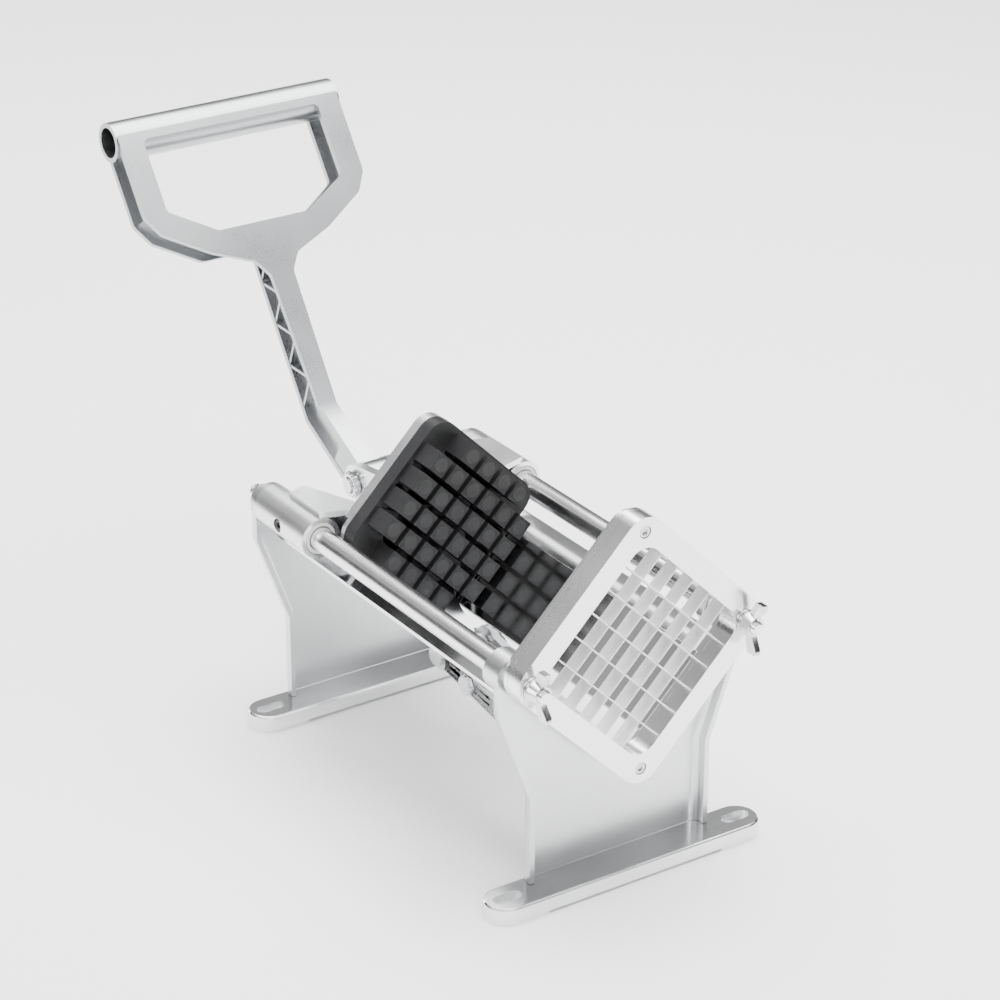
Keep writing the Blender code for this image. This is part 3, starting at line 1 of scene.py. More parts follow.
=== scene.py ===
"""Looks of a lever potato chipper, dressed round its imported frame.

The frame's solids carry the castings and sheets. Round pieces, nuts, screws and moulded marks are
surfaces worked out with numpy in the frame's own coordinates: metres, X across, Y from the blade
grid to the handle, Z up.
"""

from __future__ import annotations

import logging
import math
from dataclasses import dataclass
from enum import Enum

import bpy
import numpy as np
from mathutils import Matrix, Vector


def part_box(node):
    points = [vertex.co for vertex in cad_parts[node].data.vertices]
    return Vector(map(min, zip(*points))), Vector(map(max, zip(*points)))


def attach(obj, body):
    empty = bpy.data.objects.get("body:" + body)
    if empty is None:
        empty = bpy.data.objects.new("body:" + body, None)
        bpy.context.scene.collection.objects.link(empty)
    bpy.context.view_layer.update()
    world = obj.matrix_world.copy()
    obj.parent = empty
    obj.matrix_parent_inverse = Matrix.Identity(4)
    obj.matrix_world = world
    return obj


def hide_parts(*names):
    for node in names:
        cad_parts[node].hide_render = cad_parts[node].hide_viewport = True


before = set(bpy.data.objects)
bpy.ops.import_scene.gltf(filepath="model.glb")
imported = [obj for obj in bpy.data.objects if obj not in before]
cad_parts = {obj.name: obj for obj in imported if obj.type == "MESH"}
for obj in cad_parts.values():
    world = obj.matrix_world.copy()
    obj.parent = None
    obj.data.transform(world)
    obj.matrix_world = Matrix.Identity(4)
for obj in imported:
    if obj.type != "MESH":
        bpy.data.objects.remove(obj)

LOG = logging.getLogger("chipper")
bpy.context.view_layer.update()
SIDES = ("left", "right")
Profile = list[tuple[float, float]]

GRAIN_DETAIL = 4.0
GRAIN_ROUGHNESS = 0.6
CLOUD_DETAIL = 3.0
GRAIN_SHARE = 0.45
TONE_RANGE = (0.34, 0.66)
GLOSS_RANGE = (0.3, 0.7)

SHARP_ANGLE = math.radians(38)
WELD_REACH = 0.000002
FLAT_ANGLE = math.radians(0.4)
NORMAL_WEIGHT = 80
LARGEST_EASE = 0.45
EASE_STEPS = 3


class Axis(Enum):
    """Direction that a round piece is turned about, as the index of the row axis."""

    X = 0
    Y = 1
    Z = 2


class Body(Enum):
    """The bodies of the frame that pieces ride on."""

    FRAME = "machine_frame"
    CARRIAGE = "pusher_carriage"
    LEVER = "hand_lever"
    LINKS = "anchor_links"
    LEFT_WING = "left_wing_nut"
    RIGHT_WING = "right_wing_nut"


class Slot(Enum):
    """The record's material slots."""

    CAST = "cast_aluminium"
    POLISHED = "polished_aluminium"
    CHROME = "chromed_steel"
    BLADE = "blade_steel"
    FASTENER = "fastener_steel"
    PLASTIC = "black_plastic"
    LINER = "grey_liner"


# Finishes


@dataclass(frozen=True)
class Finish:
    """A metal or plastic surface with grain, uneven gloss and slight handling wear.

    Attributes:
        name: Material name.
        slot: The record's slot that it belongs to.
        light: Colour of the raised or clean parts.
        dark: Colour of the hollows or dull parts.
        metallic: Principled metallic value.
        gloss: Lowest and highest roughness.
        grain: Scale of the fine grain, in cells per metre.
        stretch: Factors on the grain's scale along X, Y and Z; a small one draws lines along
            that axis.
        cloud: Scale of the broad unevenness, in cells per metre.
        bump: Height of the grain in metres.
        wave: Height in metres of the slow unevenness of the surface.
        specular: Principled specular level.
    """

    name: str
    slot: Slot
    light: tuple[float, float, float]
    dark: tuple[float, float, float]
    metallic: float
    gloss: tuple[float, float]
    grain: float
    stretch: tuple[float, float, float] = (1.0, 1.0, 1.0)
    cloud: float = 22.0
    bump: float = 0.00001
    wave: float = 0.0
    specular: float = 0.5

    def material(self) -> bpy.types.Material:
        """Build the node material once and return it.

        Returns:
            The material, whose grain and clouds read Object coordinates.
        """
        found = bpy.data.materials.get(self.name)
        if found is not None:
            return found
        material = bpy.data.materials.new(self.name)
        material.use_nodes = True
        nodes = material.node_tree.nodes
        links = material.node_tree.links
        shader = nodes["Principled BSDF"]
        shader.inputs["Metallic"].default_value = self.metallic
        shader.inputs["Specular IOR Level"].default_value = self.specular
        place = nodes.new("ShaderNodeTexCoord")
        mapping = nodes.new("ShaderNodeMapping")
        mapping.inputs["Scale"].default_value = self.stretch
        links.new(place.outputs["Object"], mapping.inputs["Vector"])
        grain = nodes.new("ShaderNodeTexNoise")
        grain.inputs["Scale"].default_value = self.grain
        grain.inputs["Detail"].default_value = GRAIN_DETAIL
        grain.inputs["Roughness"].default_value = GRAIN_ROUGHNESS
        links.new(mapping.outputs["Vector"], grain.inputs["Vector"])
        cloud = nodes.new("ShaderNodeTexNoise")
        cloud.inputs["Scale"].default_value = self.cloud
        cloud.inputs["Detail"].default_value = CLOUD_DETAIL
        links.new(place.outputs["Object"], cloud.inputs["Vector"])
        blend = nodes.new("ShaderNodeMix")
        blend.data_type = "FLOAT"
        blend.inputs["Factor"].default_value = GRAIN_SHARE
        links.new(cloud.outputs["Fac"], blend.inputs["A"])
        links.new(grain.outputs["Fac"], blend.inputs["B"])
        colour = nodes.new("ShaderNodeValToRGB")
        stops = colour.color_ramp.elements
        for stop, position, tone in zip(stops, TONE_RANGE, (self.dark, self.light)):
            stop.position = position
            stop.color = (*tone, 1.0)
        links.new(blend.outputs["Result"], colour.inputs["Fac"])
        links.new(colour.outputs["Color"], shader.inputs["Base Color"])
        gloss = nodes.new("ShaderNodeMapRange")
        ends = ("From Min", "From Max", "To Min", "To Max")
        for socket, value in zip(ends, GLOSS_RANGE + self.gloss):
            gloss.inputs[socket].default_value = value
        links.new(blend.outputs["Result"], gloss.inputs["Value"])
        links.new(gloss.outputs["Result"], shader.inputs["Roughness"])
        normal = None
        for height, source in ((self.wave, cloud), (self.bump, grain)):
            if height <= 0:
                continue
            bump = nodes.new("ShaderNodeBump")
            bump.inputs["Distance"].default_value = height
            bump.inputs["Strength"].default_value = 1.0
            links.new(source.outputs["Fac"], bump.inputs["Height"])
            if normal is not None:
                links.new(normal, bump.inputs["Normal"])
            normal = bump.outputs["Normal"]
        if normal is not None:
            links.new(normal, shader.inputs["Normal"])
        return material


LEG_CAST = Finish(
    "leg_satin_cast", Slot.CAST, (0.70, 0.71, 0.72), (0.62, 0.63, 0.64), 1.0, (0.27, 0.33), 1500.0,
    bump=0.000004,
)
LEVER_CAST = Finish(
    "lever_satin_cast", Slot.CAST, (0.44, 0.45, 0.46), (0.36, 0.37, 0.38), 1.0, (0.26, 0.32),
    1400.0, bump=0.000002,
)
CARRIAGE_CAST = Finish(
    "carriage_cast", Slot.CAST, (0.90, 0.90, 0.91), (0.74, 0.75, 0.76), 1.0, (0.24, 0.38), 1300.0,
    bump=0.000003,
)
LINK_CAST = Finish(
    "link_cast", Slot.CAST, (0.70, 0.71, 0.72), (0.50, 0.51, 0.52), 1.0, (0.22, 0.36), 1300.0,
    bump=0.000003,
)
BLOCK_SATIN = Finish(
    "blade_block_satin", Slot.POLISHED, (0.98, 0.98, 0.98), (0.86, 0.86, 0.86), 1.0, (0.20, 0.30),
    1500.0, bump=0.000004,
)
FOOT_POLISH = Finish(
    "foot_polish", Slot.POLISHED, (0.86, 0.86, 0.87), (0.72, 0.73, 0.74), 1.0, (0.13, 0.24), 800.0,
    stretch=(0.1, 1.0, 1.0), bump=0.000003,
)
BED_POLISH = Finish(
    "bed_polish", Slot.POLISHED, (0.90, 0.90, 0.91), (0.78, 0.79, 0.80), 1.0, (0.08, 0.17), 1000.0,
    stretch=(1.0, 0.06, 1.0), bump=0.000003,
)
CHROME = Finish(
    "rod_chrome", Slot.CHROME, (0.97, 0.97, 0.97), (0.90, 0.90, 0.90), 1.0, (0.16, 0.26), 900.0,
    stretch=(1.0, 0.1, 1.0), bump=0.000002,
)
BLADE_GROUND = Finish(
    "blade_ground_steel", Slot.BLADE, (0.99, 0.99, 0.99), (0.92, 0.92, 0.92), 0.55, (0.30, 0.42),
    1600.0, stretch=(1.0, 0.2, 1.0), bump=0.000003,
)
PLATED = Finish(
    "fastener_plated", Slot.FASTENER, (0.78, 0.78, 0.79), (0.58, 0.58, 0.60), 1.0, (0.14, 0.26),
    1200.0, bump=0.000006,
)
BLACK_MOULDED = Finish(
    "pusher_black_moulded", Slot.PLASTIC, (0.022, 0.022, 0.023), (0.010, 0.010, 0.011), 0.0,
    (0.34, 0.50), 1800.0, bump=0.000012, wave=0.00002, specular=0.22,
)
PIN_FACE = Finish(
    "pin_face_moulded", Slot.PLASTIC, (0.034, 0.034, 0.035), (0.018, 0.018, 0.019), 0.0,
    (0.36, 0.52), 1500.0, bump=0.000010, specular=0.3,
)
LINER_NYLON = Finish(
    "liner_nylon", Slot.LINER, (0.66, 0.66, 0.64), (0.52, 0.52, 0.50), 0.0, (0.32, 0.45), 900.0,
    bump=0.000006,
)
# Near-black set screw finish: painted shade that stands for the dark inside the screw's hole, not
# an oxide coating.
SET_SCREW_PAINTED_SHADE = Finish(
    "set_screw_painted_shade", Slot.FASTENER, (0.05, 0.05, 0.052), (0.02, 0.02, 0.021), 0.6, (0.30, 0.45),
    1200.0, bump=0.000004,
)


# Mesh helpers


def smooth_object(
    name: str, points: np.ndarray, faces: list[tuple[int, ...]] | np.ndarray
) -> bpy.types.Object:
    """Make a smooth-shaded object from points and faces.

    Args:
        name: Object and mesh name.
        points: Array of shape (n, 3).
        faces: Vertex indices of each face.

    Returns:
        The object, linked to the scene.
    """
    mesh = bpy.data.meshes.new(name)
    rows = faces.tolist() if isinstance(faces, np.ndarray) else faces
    mesh.from_pydata(points.tolist(), [], rows)
    mesh.update()
    mesh.shade_smooth()
    mesh.set_sharp_from_angle(angle=SHARP_ANGLE)
    item = bpy.data.objects.new(name, mesh)
    bpy.context.scene.collection.objects.link(item)
    return item


def grid_faces(rows: int, columns: int, wrap_rows: bool, wrap_columns: bool) -> np.ndarray:
    """Return the quads of a grid of rows by columns.

    Args:
        rows: Number of rows of points.
        columns: Number of points in a row.
        wrap_rows: Join the last row to the first.
        wrap_columns: Join the last column to the first.

    Returns:
        Array of shape (n, 4) of point indices.
    """
    row = np.arange(rows if wrap_rows else rows - 1)
    column = np.arange(columns if wrap_columns else columns - 1)
    i, j = np.meshgrid(row, column, indexing="ij")
    up = (i + 1) % rows
    on = (j + 1) % columns
    here, above = i * columns, up * columns
    return np.stack([here + j, here + on, above + on, above + j], axis=-1).reshape(-1, 4)


def turned(
    name: str,
    profile: Profile,
    axis: Axis,
    centre: Vector,
    segments: int = 96,
    hexed: list[float] | None = None,
) -> bpy.types.Object:
    """Turn a profile about an axis.

    The surface is P(i, t) = centre + along_i * a + r_i(t) * (cos t * u + sin t * v), where a is the
    axis and u and v span its plane. Where a profile point is hexed by h, its radius is r times a
    blend of 1 and cos 30 / cos(t mod 60 - 30), the distance to a hexagon's side.

    Args:
        name: Object name.
        profile: (radius, along) pairs; it starts and ends on the axis, or is a closed loop off it.
        axis: The direction that the profile is turned about.
        centre: A point on the axis.
        segments: Steps round the axis.
        hexed: For each profile point, 0 for round to 1 for six-sided.

    Returns:
        The closed object.
    """
    pairs = np.array(profile, float)
    on_axis = pairs[0, 0] == 0 and pairs[-1, 0] == 0
    turn = np.linspace(0, 2 * math.pi, segments, endpoint=False)
    flat = math.cos(math.pi / 6) / np.cos(np.mod(turn, math.pi / 3) - math.pi / 6)
    share = np.array(hexed if hexed is not None else [0.0] * len(pairs))[:, None]
    radius = pairs[:, :1] * (1 - share + share * flat[None, :])
    first = (axis.value + 1) % 3
    second = (axis.value + 2) % 3
    points = np.zeros((len(pairs), segments, 3))
    points[:, :, axis.value] = pairs[:, 1:]
    points[:, :, first] = radius * np.cos(turn)
    points[:, :, second] = radius * np.sin(turn)
    if on_axis:
        body = points[1:-1].reshape(-1, 3)
        rows = len(pairs) - 2
        quads = grid_faces(rows, segments, False, True).tolist()
        ends = np.zeros((2, 3))
        ends[0, axis.value] = pairs[0, 1]
        ends[1, axis.value] = pairs[-1, 1]
        body = np.concatenate([body, ends])
        low = rows * segments
        spokes = np.arange(segments)
        following = (spokes + 1) % segments
        last = (rows - 1) * segments
        start, end = np.full(segments, low), np.full(segments, low + 1)
        quads += np.stack([start, following, spokes], axis=1).tolist()
        quads += np.stack([end, last + spokes, last + following], axis=1).tolist()
    else:
        body = points.reshape(-1, 3)
        quads = grid_faces(len(pairs), segments, True, True).tolist()
    area = float(np.sum(pairs[:, 0] * (np.roll(pairs[:, 1], -1) - pairs[:, 1])))
    if area < 0:
        quads = [tuple(reversed(face)) for face in quads]
    return smooth_object(name, body + np.array(centre), quads)


def eased(points: Profile, radius: float) -> Profile:
    """Round every corner of an open profile between its two ends.

    Each corner is replaced by points of the curve (1-t)^2 A + 2t(1-t) C + t^2 B, with A and B on
    its two sides.

    Args:
        points: (radius, along) corners.
        radius: Distance from the corner to each end of the curve, at most LARGEST_EASE of a side.

    Returns:
        The finer profile.
    """
    result = [points[0]]
    for before, corner, after in zip(points, points[1:], points[2:]):
        here = np.array(corner)
        back = np.array(before) - here
        out = np.array(after) - here
        a = here + back * min(radius / np.linalg.norm(back), LARGEST_EASE)
        b = here + out * min(radius / np.linalg.norm(out), LARGEST_EASE)
        share = np.linspace(0, 1, EASE_STEPS + 1)[:, None]
        curve = (1 - share) ** 2 * a + 2 * share * (1 - share) * here + share**2 * b
        result += [tuple(point) for point in curve]
    result.append(points[-1])
    return result


def tube(inner: float, outer: float, low: float, high: float, radius: float) -> Profile:
    """Return the closed profile of a tube whose four edges are rounded.

    Args:
        inner: Radius of the bore.
        outer: Outer radius.
        low: Start along the axis.
        high: End along the axis.
        radius: Size of the rounding.

    Returns:
        The (radius, along) pairs.
    """
    loop = [(inner, low), (outer, low), (outer, high), (inner, high)]
    return eased([loop[-1]] + loop + [loop[0]], radius)[1:-1]


def refine(item: bpy.types.Object, width: float, segments: int = 3, angle: float = 28.0) -> None:
    """Merge a frame node's loose triangles into flat faces and round its edges by modifiers.

    Args:
        item: The node's object.
        width: Width of the rounded edge in metres.
        segments: Steps across the edge.
        angle: Least turn in degrees between two faces whose edge is rounded.
    """
    weld = item.modifiers.new("weld", "WELD")
    weld.merge_threshold = WELD_REACH
    flat = item.modifiers.new("flat", "DECIMATE")
    flat.decimate_type = "DISSOLVE"
    flat.angle_limit = FLAT_ANGLE
    edge = item.modifiers.new("edge", "BEVEL")
    edge.width = width
    edge.segments = segments
    edge.limit_method = "ANGLE"
    edge.angle_limit = math.radians(angle)
    edge.harden_normals = False
    edge.miter_outer = "MITER_ARC"
    for face in item.data.polygons:
        face.use_smooth = True
    normals = item.modifiers.new("normals", "WEIGHTED_NORMAL")
    normals.keep_sharp = True
    normals.weight = NORMAL_WEIGHT


def dress(item: bpy.types.Object, finish: Finish) -> None:
    """Give an object one finish in all its material slots."""
    material = finish.material()
    if not item.data.materials:
        item.data.materials.append(material)
    for index in range(len(item.data.materials)):
        item.data.materials[index] = material


def seat(item: bpy.types.Object, body: Body, finish: Finish, *nodes: str) -> None:
    """Dress a new piece, let it ride on its body and stand for its nodes.

    Args:
        item: The new piece.
        body: The body that carries it.
        finish: Its finish.
        nodes: The frame's nodes that it stands for.
    """
    dress(item, finish)
    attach(item, body.value)
    if nodes:
        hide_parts(*nodes)
    LOG.info("%s rides on %s", item.name, body.value)


def centre_of(node: str) -> Vector:
    """Return the middle of a node's box."""
    low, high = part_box(node)
    return (low + high) / 2


def centre_line(node: str, axis: Axis) -> Vector:
    """Return the point where a node's centre line along an axis starts, at zero on that axis."""
    point = centre_of(node)
    point[axis.value] = 0.0
    return point


# Sub-assemblies


@dataclass
class Stands:
    """Feet and legs, which are the frame's own solids with rounded edges."""

    foot_edge: float = 0.0006
    leg_edge: float = 0.0007

    def dress_all(self) -> None:
        """Finish the two feet and the two legs."""
        for name in ("front_foot", "rear_foot"):
            refine(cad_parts[name], self.foot_edge)
            dress(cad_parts[name], FOOT_POLISH)
        for name in ("front_leg", "rear_leg"):
            refine(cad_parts[name], self.leg_edge)
            dress(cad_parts[name], LEG_CAST)


@dataclass
class BladeHead:
    """The clamp plates, their screws and the two crossed sets of blades."""

    plate_edge: float = 0.0005
    blade_edge: float = 0.00012
    socket: float = 0.0016
    socket_depth: float = 0.0014
    socket_lip: float = 0.00015
    screw_head: float = 0.002
    screw_ease: float = 0.0003
    shank_share: float = 0.58

    def dress_all(self) -> None:
        """Finish the plates and blades and build the screws."""
        for name in ("blade_frame", "blade_frame_back"):
            refine(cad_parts[name], self.plate_edge)
            dress(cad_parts[name], BLOCK_SATIN)
        for name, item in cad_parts.items():
            if name.startswith(("blade_rising", "blade_falling")):
                refine(item, self.blade_edge, segments=1)
                dress(item, BLADE_GROUND)
        for place in ("lower", "upper"):
            self.screw(f"blade_frame_screw_{place}")

    def screw(self, node: str) -> None:
        """Build a flat-headed socket screw in a node's place.

        Args:
            node: The node that it stands for.
        """
        low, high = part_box(node)
        radius = (high.x - low.x) / 2
        shank = radius * self.shank_share
        front = low.y
        head = front + self.screw_head
        floor = front + self.socket_depth
        profile = [
            (0.0, floor),
            (self.socket * 0.6, floor),
            (self.socket, front + self.socket_depth * 0.8),
            (self.socket, front + self.socket_lip),
            (self.socket + self.socket_lip, front),
            (radius - self.screw_ease, front),
            (radius, front + self.screw_ease),
            (radius, head),
            (shank, head),
            (shank, high.y),
            (0.0, high.y),
        ]
        hexed = [0, 1, 1, 1, 0.6, 0, 0, 0, 0, 0, 0]
        item = turned(f"{node}_socket", profile, Axis.Y, centre_line(node, Axis.Y), 72, hexed)
        seat(item, Body.FRAME, PLATED, node)


@dataclass
class Rods:
    """The guide rods with threaded studs, washers, cap nuts and wing nuts."""

    rod_radius: float = 0.0060
    rod_ease: float = 0.0006
    stud_radius: float = 0.0032
    stud_ease: float = 0.0002
    stud_clearance: float = 0.0003
    thread_start: float = 0.0003
    thread_pitch: float = 0.0009
    thread_depth: float = 0.00035
    threads: int = 18
    front_shoulder: float = 0.008
    rear_shoulder: float = 0.223
    washer_ease: float = 0.00025
    nut_skirt: float = 0.0044
    nut_bore: float = 0.0062
    nut_ease: float = 0.0005
    dome_lip: float = 0.0003
    dome_share: float = 0.82
    dome_steps: int = 12
    wing_edge: float = 0.0010

    def dress_all(self, origin: float) -> None:
        """Build both sides.

        Args:
            origin: World Y of the front foot's centreline.
        """
        for side, body in zip(SIDES, (Body.LEFT_WING, Body.RIGHT_WING)):
            self.rod(side, origin)
            self.washer(f"rod_washer_{side}")
            self.washer(f"wing_washer_{side}")
            self.cap_nut(side)
            self.wing_nut(side, body)

    def rod(self, side: str, origin: float) -> None:
        """Build one rod whose front stud shows its thread.

        Args:
            side: Which side it is on.
            origin: World Y of the front foot's centreline.
        """
        node = f"guide_rod_{side}"
        low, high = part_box(node)
        pitch = self.thread_pitch
        crest = self.stud_radius
        root = crest - self.thread_depth
        profile = [(0.0, low.y), (root - self.stud_ease, low.y), (root, low.y + self.stud_ease)]
        for turn in range(self.threads):
            start = low.y + self.thread_start + turn * pitch
            profile += [
                (root, start),
                (crest, start + 0.4 * pitch),
                (crest, start + 0.55 * pitch),
                (root, start + 0.95 * pitch),
            ]
        front = origin + self.front_shoulder
        rear = origin + self.rear_shoulder
        edge = self.rod_radius - self.rod_ease
        profile += [
            (crest, front),
            (edge, front),
            (self.rod_radius, front + self.rod_ease),
            (self.rod_radius, rear - self.rod_ease),
            (edge, rear),
            (crest, rear),
            (crest, high.y),
            (0.0, high.y),
        ]
        item = turned(f"{node}_turned", profile, Axis.Y, centre_line(node, Axis.Y), 80)
        seat(item, Body.FRAME, CHROME, node)

    def washer(self, node: str) -> None:
        """Build a flat washer with pressed edges."""
        low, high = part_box(node)
        bore = self.stud_radius + self.stud_clearance
        loop = tube(bore, (high.x - low.x) / 2, low.y, high.y, self.washer_ease)
        item = turned(f"{node}_pressed", loop, Axis.Y, centre_line(node, Axis.Y), 80)
        seat(item, Body.FRAME, PLATED, node)

    def cap_nut(self, side: str) -> None:
        """Build a domed cap nut with a six-sided skirt."""
        node = f"rod_nut_{side}"
        low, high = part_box(node)
        outer = (high.x - low.x) / 2
        bore = self.stud_radius + self.stud_clearance
        skirt = low.y + self.nut_skirt
        floor = low.y + self.nut_bore
        profile = [
            (0.0, floor),
            (bore, floor),
            (bore, low.y + self.stud_ease),
            (bore + self.stud_ease, low.y),
            (outer * 0.9, low.y),
            (outer, low.y + 0.0004),
            (outer, skirt - self.nut_ease),
            (outer * 0.92, skirt),
        ]
        hexed = [0, 0, 0, 0, 0, 1, 1, 0.2] + [0.0] * self.dome_steps
        foot = skirt + self.dome_lip
        reach = high.y - foot
        dome = outer * self.dome_share
        for angle in np.linspace(0, math.pi / 2, self.dome_steps)[:-1]:
            profile.append((dome * math.cos(angle), foot + reach * math.sin(angle)))
        profile.append((0.0, high.y))
        item = turned(f"{node}_domed", profile, Axis.Y, centre_line(node, Axis.Y), 96, hexed)
        seat(item, Body.FRAME, CHROME, node)

    def wing_nut(self, side: str, body: Body) -> None:
        """Round the edges of a wing nut's own solid.

        Args:
            side: Which side it is on.
            body: The wing nut's own body.
        """
        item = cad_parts[f"wing_nut_{side}"]
        refine(item, self.wing_edge, segments=4, angle=40.0)
        dress(item, PLATED)
        LOG.info("%s rides on %s", item.name, body.value)


@dataclass
class Bed:
    """The two polished sheets and their screws."""

    edge: float = 0.0006
    screw_head: float = 0.0014
    screw_shank: float = 0.0015
    rim: float = 0.0004
    crown: float = 0.0003
    socket: float = 0.0012
    socket_depth: float = 0.0007

    def dress_all(self) -> None:
        """Finish the sheets and build the screws."""
        for side in SIDES:
            refine(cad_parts[f"bed_{side}"], self.edge)
            dress(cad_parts[f"bed_{side}"], BED_POLISH)
            self.screw(f"bed_screw_{side}")

    def screw(self, node: str) -> None:
        """Build a low round-headed socket screw."""
        low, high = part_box(node)
        radius = (high.x - low.x) / 2
        under = high.z - self.screw_head
        floor = high.z - self.socket_depth
        profile = [
            (0.0, low.z),
            (self.screw_shank, low.z),
            (self.screw_shank, under),
            (radius, under),
            (radius, under + self.rim),
            (radius * 0.8, high.z - self.crown),
            (radius * 0.5, high.z),
            (self.socket, high.z),
            (self.socket - 0.0001, floor),
            (0.0, floor),
        ]
        hexed = [0, 0, 0, 0, 0, 0, 0, 1, 1, 1]
        item = turned(f"{node}_head", profile, Axis.Z, centre_line(node, Axis.Z), 64, hexed)
        seat(item, Body.FRAME, PLATED, node)


@dataclass
class Carriage:
    """The casting on the rods with its liners, screws, pusher block and pivot bolt."""

    casting_edge: float = 0.0007
    block_edge: float = 0.0004
    liner_bore: float = 0.0064
    liner_ease: float = 0.0004
    set_socket: float = 0.0016
    set_ease: float = 0.0003
    set_depth: float = 0.0010
    cap_head: float = 0.0025
    cap_shank: float = 0.0017
    cap_ease: float = 0.0004
    cap_socket: float = 0.0015
    cap_depth: float = 0.0015
    socket_lip: float = 0.0002
    drill_point: float = 0.0001
    cap_screws: int = 4
    pitch: float = 0.013
    cells: int = 6
    mark_inner: float = 0.0003
    mark_outer: float = 0.0041
    mark_height: float = 0.00006
    mark_swing: float = 0.00007
    mark_ring: float = 0.0011
    mark_root: float = 0.0001
    mark_depth: float = 0.0002
    mark_rings: int = 13
    mark_spokes: int = 40

    def dress_all(self) -> None:
        """Finish the castings and build the round pieces."""
        refine(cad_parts["carriage"], self.casting_edge)
        dress(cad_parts["carriage"], CARRIAGE_CAST)
        refine(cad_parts["pusher_block"], self.block_edge, segments=2)
        dress(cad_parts["pusher_block"], BLACK_MOULDED)
        for side, way in zip(SIDES, (-1, 1)):
            self.liner(f"bush_liner_{side}")
            self.set_screw(f"liner_screw_{side}", way)
        for number in range(1, self.cap_screws + 1):
            self.cap_screw(f"pusher_screw_{number}")
        self.pin_marks()

    def liner(self, node: str) -> None:
        """Build a bush liner with rounded mouths."""
        low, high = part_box(node)
        loop = tube(self.liner_bore, (high.x - low.x) / 2, low.y, high.y, self.liner_ease)
        item = turned(f"{node}_turned", loop, Axis.Y, centre_line(node, Axis.Y), 96)
        seat(item, Body.CARRIAGE, LINER_NYLON, node)

    def set_screw(self, node: str, way: int) -> None:
        """Build a socket set screw whose open end looks outwards.

        Args:
            node: The node that it stands for.
            way: -1 where outwards is -X, else 1.
        """
        low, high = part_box(node)
        radius = (high.y - low.y) / 2
        inner, outer = (high.x, low.x) if way < 0 else (low.x, high.x)
        floor = outer - way * self.set_depth
        profile = [
            (0.0, inner),
            (radius, inner),
            (radius, outer - way * self.set_ease),
            (radius - self.set_ease, outer),
            (self.set_socket + self.socket_lip, outer),
            (self.set_socket, outer - way * self.socket_lip),
            (self.set_socket, floor),
            (0.0, floor - way * self.drill_point),
        ]
        hexed = [0, 0, 0, 0, 0.6, 1, 1, 0]
        item = turned(f"{node}_socket", profile, Axis.X, centre_line(node, Axis.X), 72, hexed)
        # The set screw is painted near-black, as painted shade of the hole it sits in.
        seat(item, Body.CARRIAGE, SET_SCREW_PAINTED_SHADE, node)

    def cap_screw(self, node: str) -> None:
        """Build a socket cap screw whose head looks to the rear."""
        low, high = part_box(node)
        radius = (high.x - low.x) / 2
        under = high.y - self.cap_head
        floor = high.y - self.cap_depth
        profile = [
            (0.0, low.y),
            (self.cap_shank, low.y),
            (self.cap_shank, under),
            (radius, under),
            (radius, high.y - self.cap_ease),
            (radius - self.cap_ease, high.y),
            (self.cap_socket + self.socket_lip, high.y),
            (self.cap_socket, high.y - self.socket_lip),
            (self.cap_socket, floor),
            (0.0, floor - self.drill_point),
        ]
        hexed = [0, 0, 0, 0, 0, 0, 0.6, 1, 1, 0]
        item = turned(f"{node}_socket", profile, Axis.Y, centre_line(node, Axis.Y), 72, hexed)
        seat(item, Body.CARRIAGE, PLATED, node)

    def pin_marks(self) -> None:
        """Build the turned mark on each pin's face.

        Each mark is a low disc whose height is h(r) = h0 + a * cos(2 pi r / p), rings of pitch p,
        and all the discs stand in one mesh.
        """
        low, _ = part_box("pusher_block")
        middle = centre_of("blade_rising_3")
        rings, around = self.mark_rings, self.mark_spokes
        radius = np.linspace(self.mark_inner, self.mark_outer, rings)
        height = self.mark_height + self.mark_swing * np.cos(2 * math.pi * radius / self.mark_ring)
        height[-1] = -self.mark_root
        turn = np.linspace(0, 2 * math.pi, around, endpoint=False)
        disc = np.zeros((rings, around, 3))
        disc[:, :, 0] = radius[:, None] * np.cos(turn)
        disc[:, :, 2] = radius[:, None] * np.sin(turn)
        disc[:, :, 1] = -height[:, None]
        tops = [[0.0, -2 * self.mark_height, 0.0], [0.0, self.mark_depth, 0.0]]
        single = np.concatenate([disc.reshape(-1, 3), tops])
        quads = grid_faces(rings, around, False, True)
        spokes = np.arange(around)
        following = (spokes + 1) % around
        last = (rings - 1) * around
        front, back = np.full(around, rings * around), np.full(around, rings * around + 1)
        caps = np.stack([front, following, spokes], axis=1)
        backs = np.stack([back, last + spokes, last + following], axis=1)
        steps = (np.arange(self.cells) - (self.cells - 1) / 2) * self.pitch
        u, v = np.meshgrid(steps, steps)
        keep = ~((np.abs(u) == steps[-1]) & (np.abs(v) == steps[-1]))
        u, v = u[keep], v[keep]
        half = math.sqrt(0.5)
        across, above = (u + v) * half, (v - u) * half + middle.z
        places = np.stack([across, np.full_like(u, low.y), above], axis=1)
        points = (places[:, None, :] + single[None]).reshape(-1, 3)
        shift = np.arange(len(places)) * len(single)
        faces: list[list[int]] = []
        for block in (quads, caps, backs):
            faces += (block[None] + shift[:, None, None]).reshape(-1, block.shape[1]).tolist()
        item = smooth_object("pin_face_marks", points, faces)
        seat(item, Body.CARRIAGE, PIN_FACE)


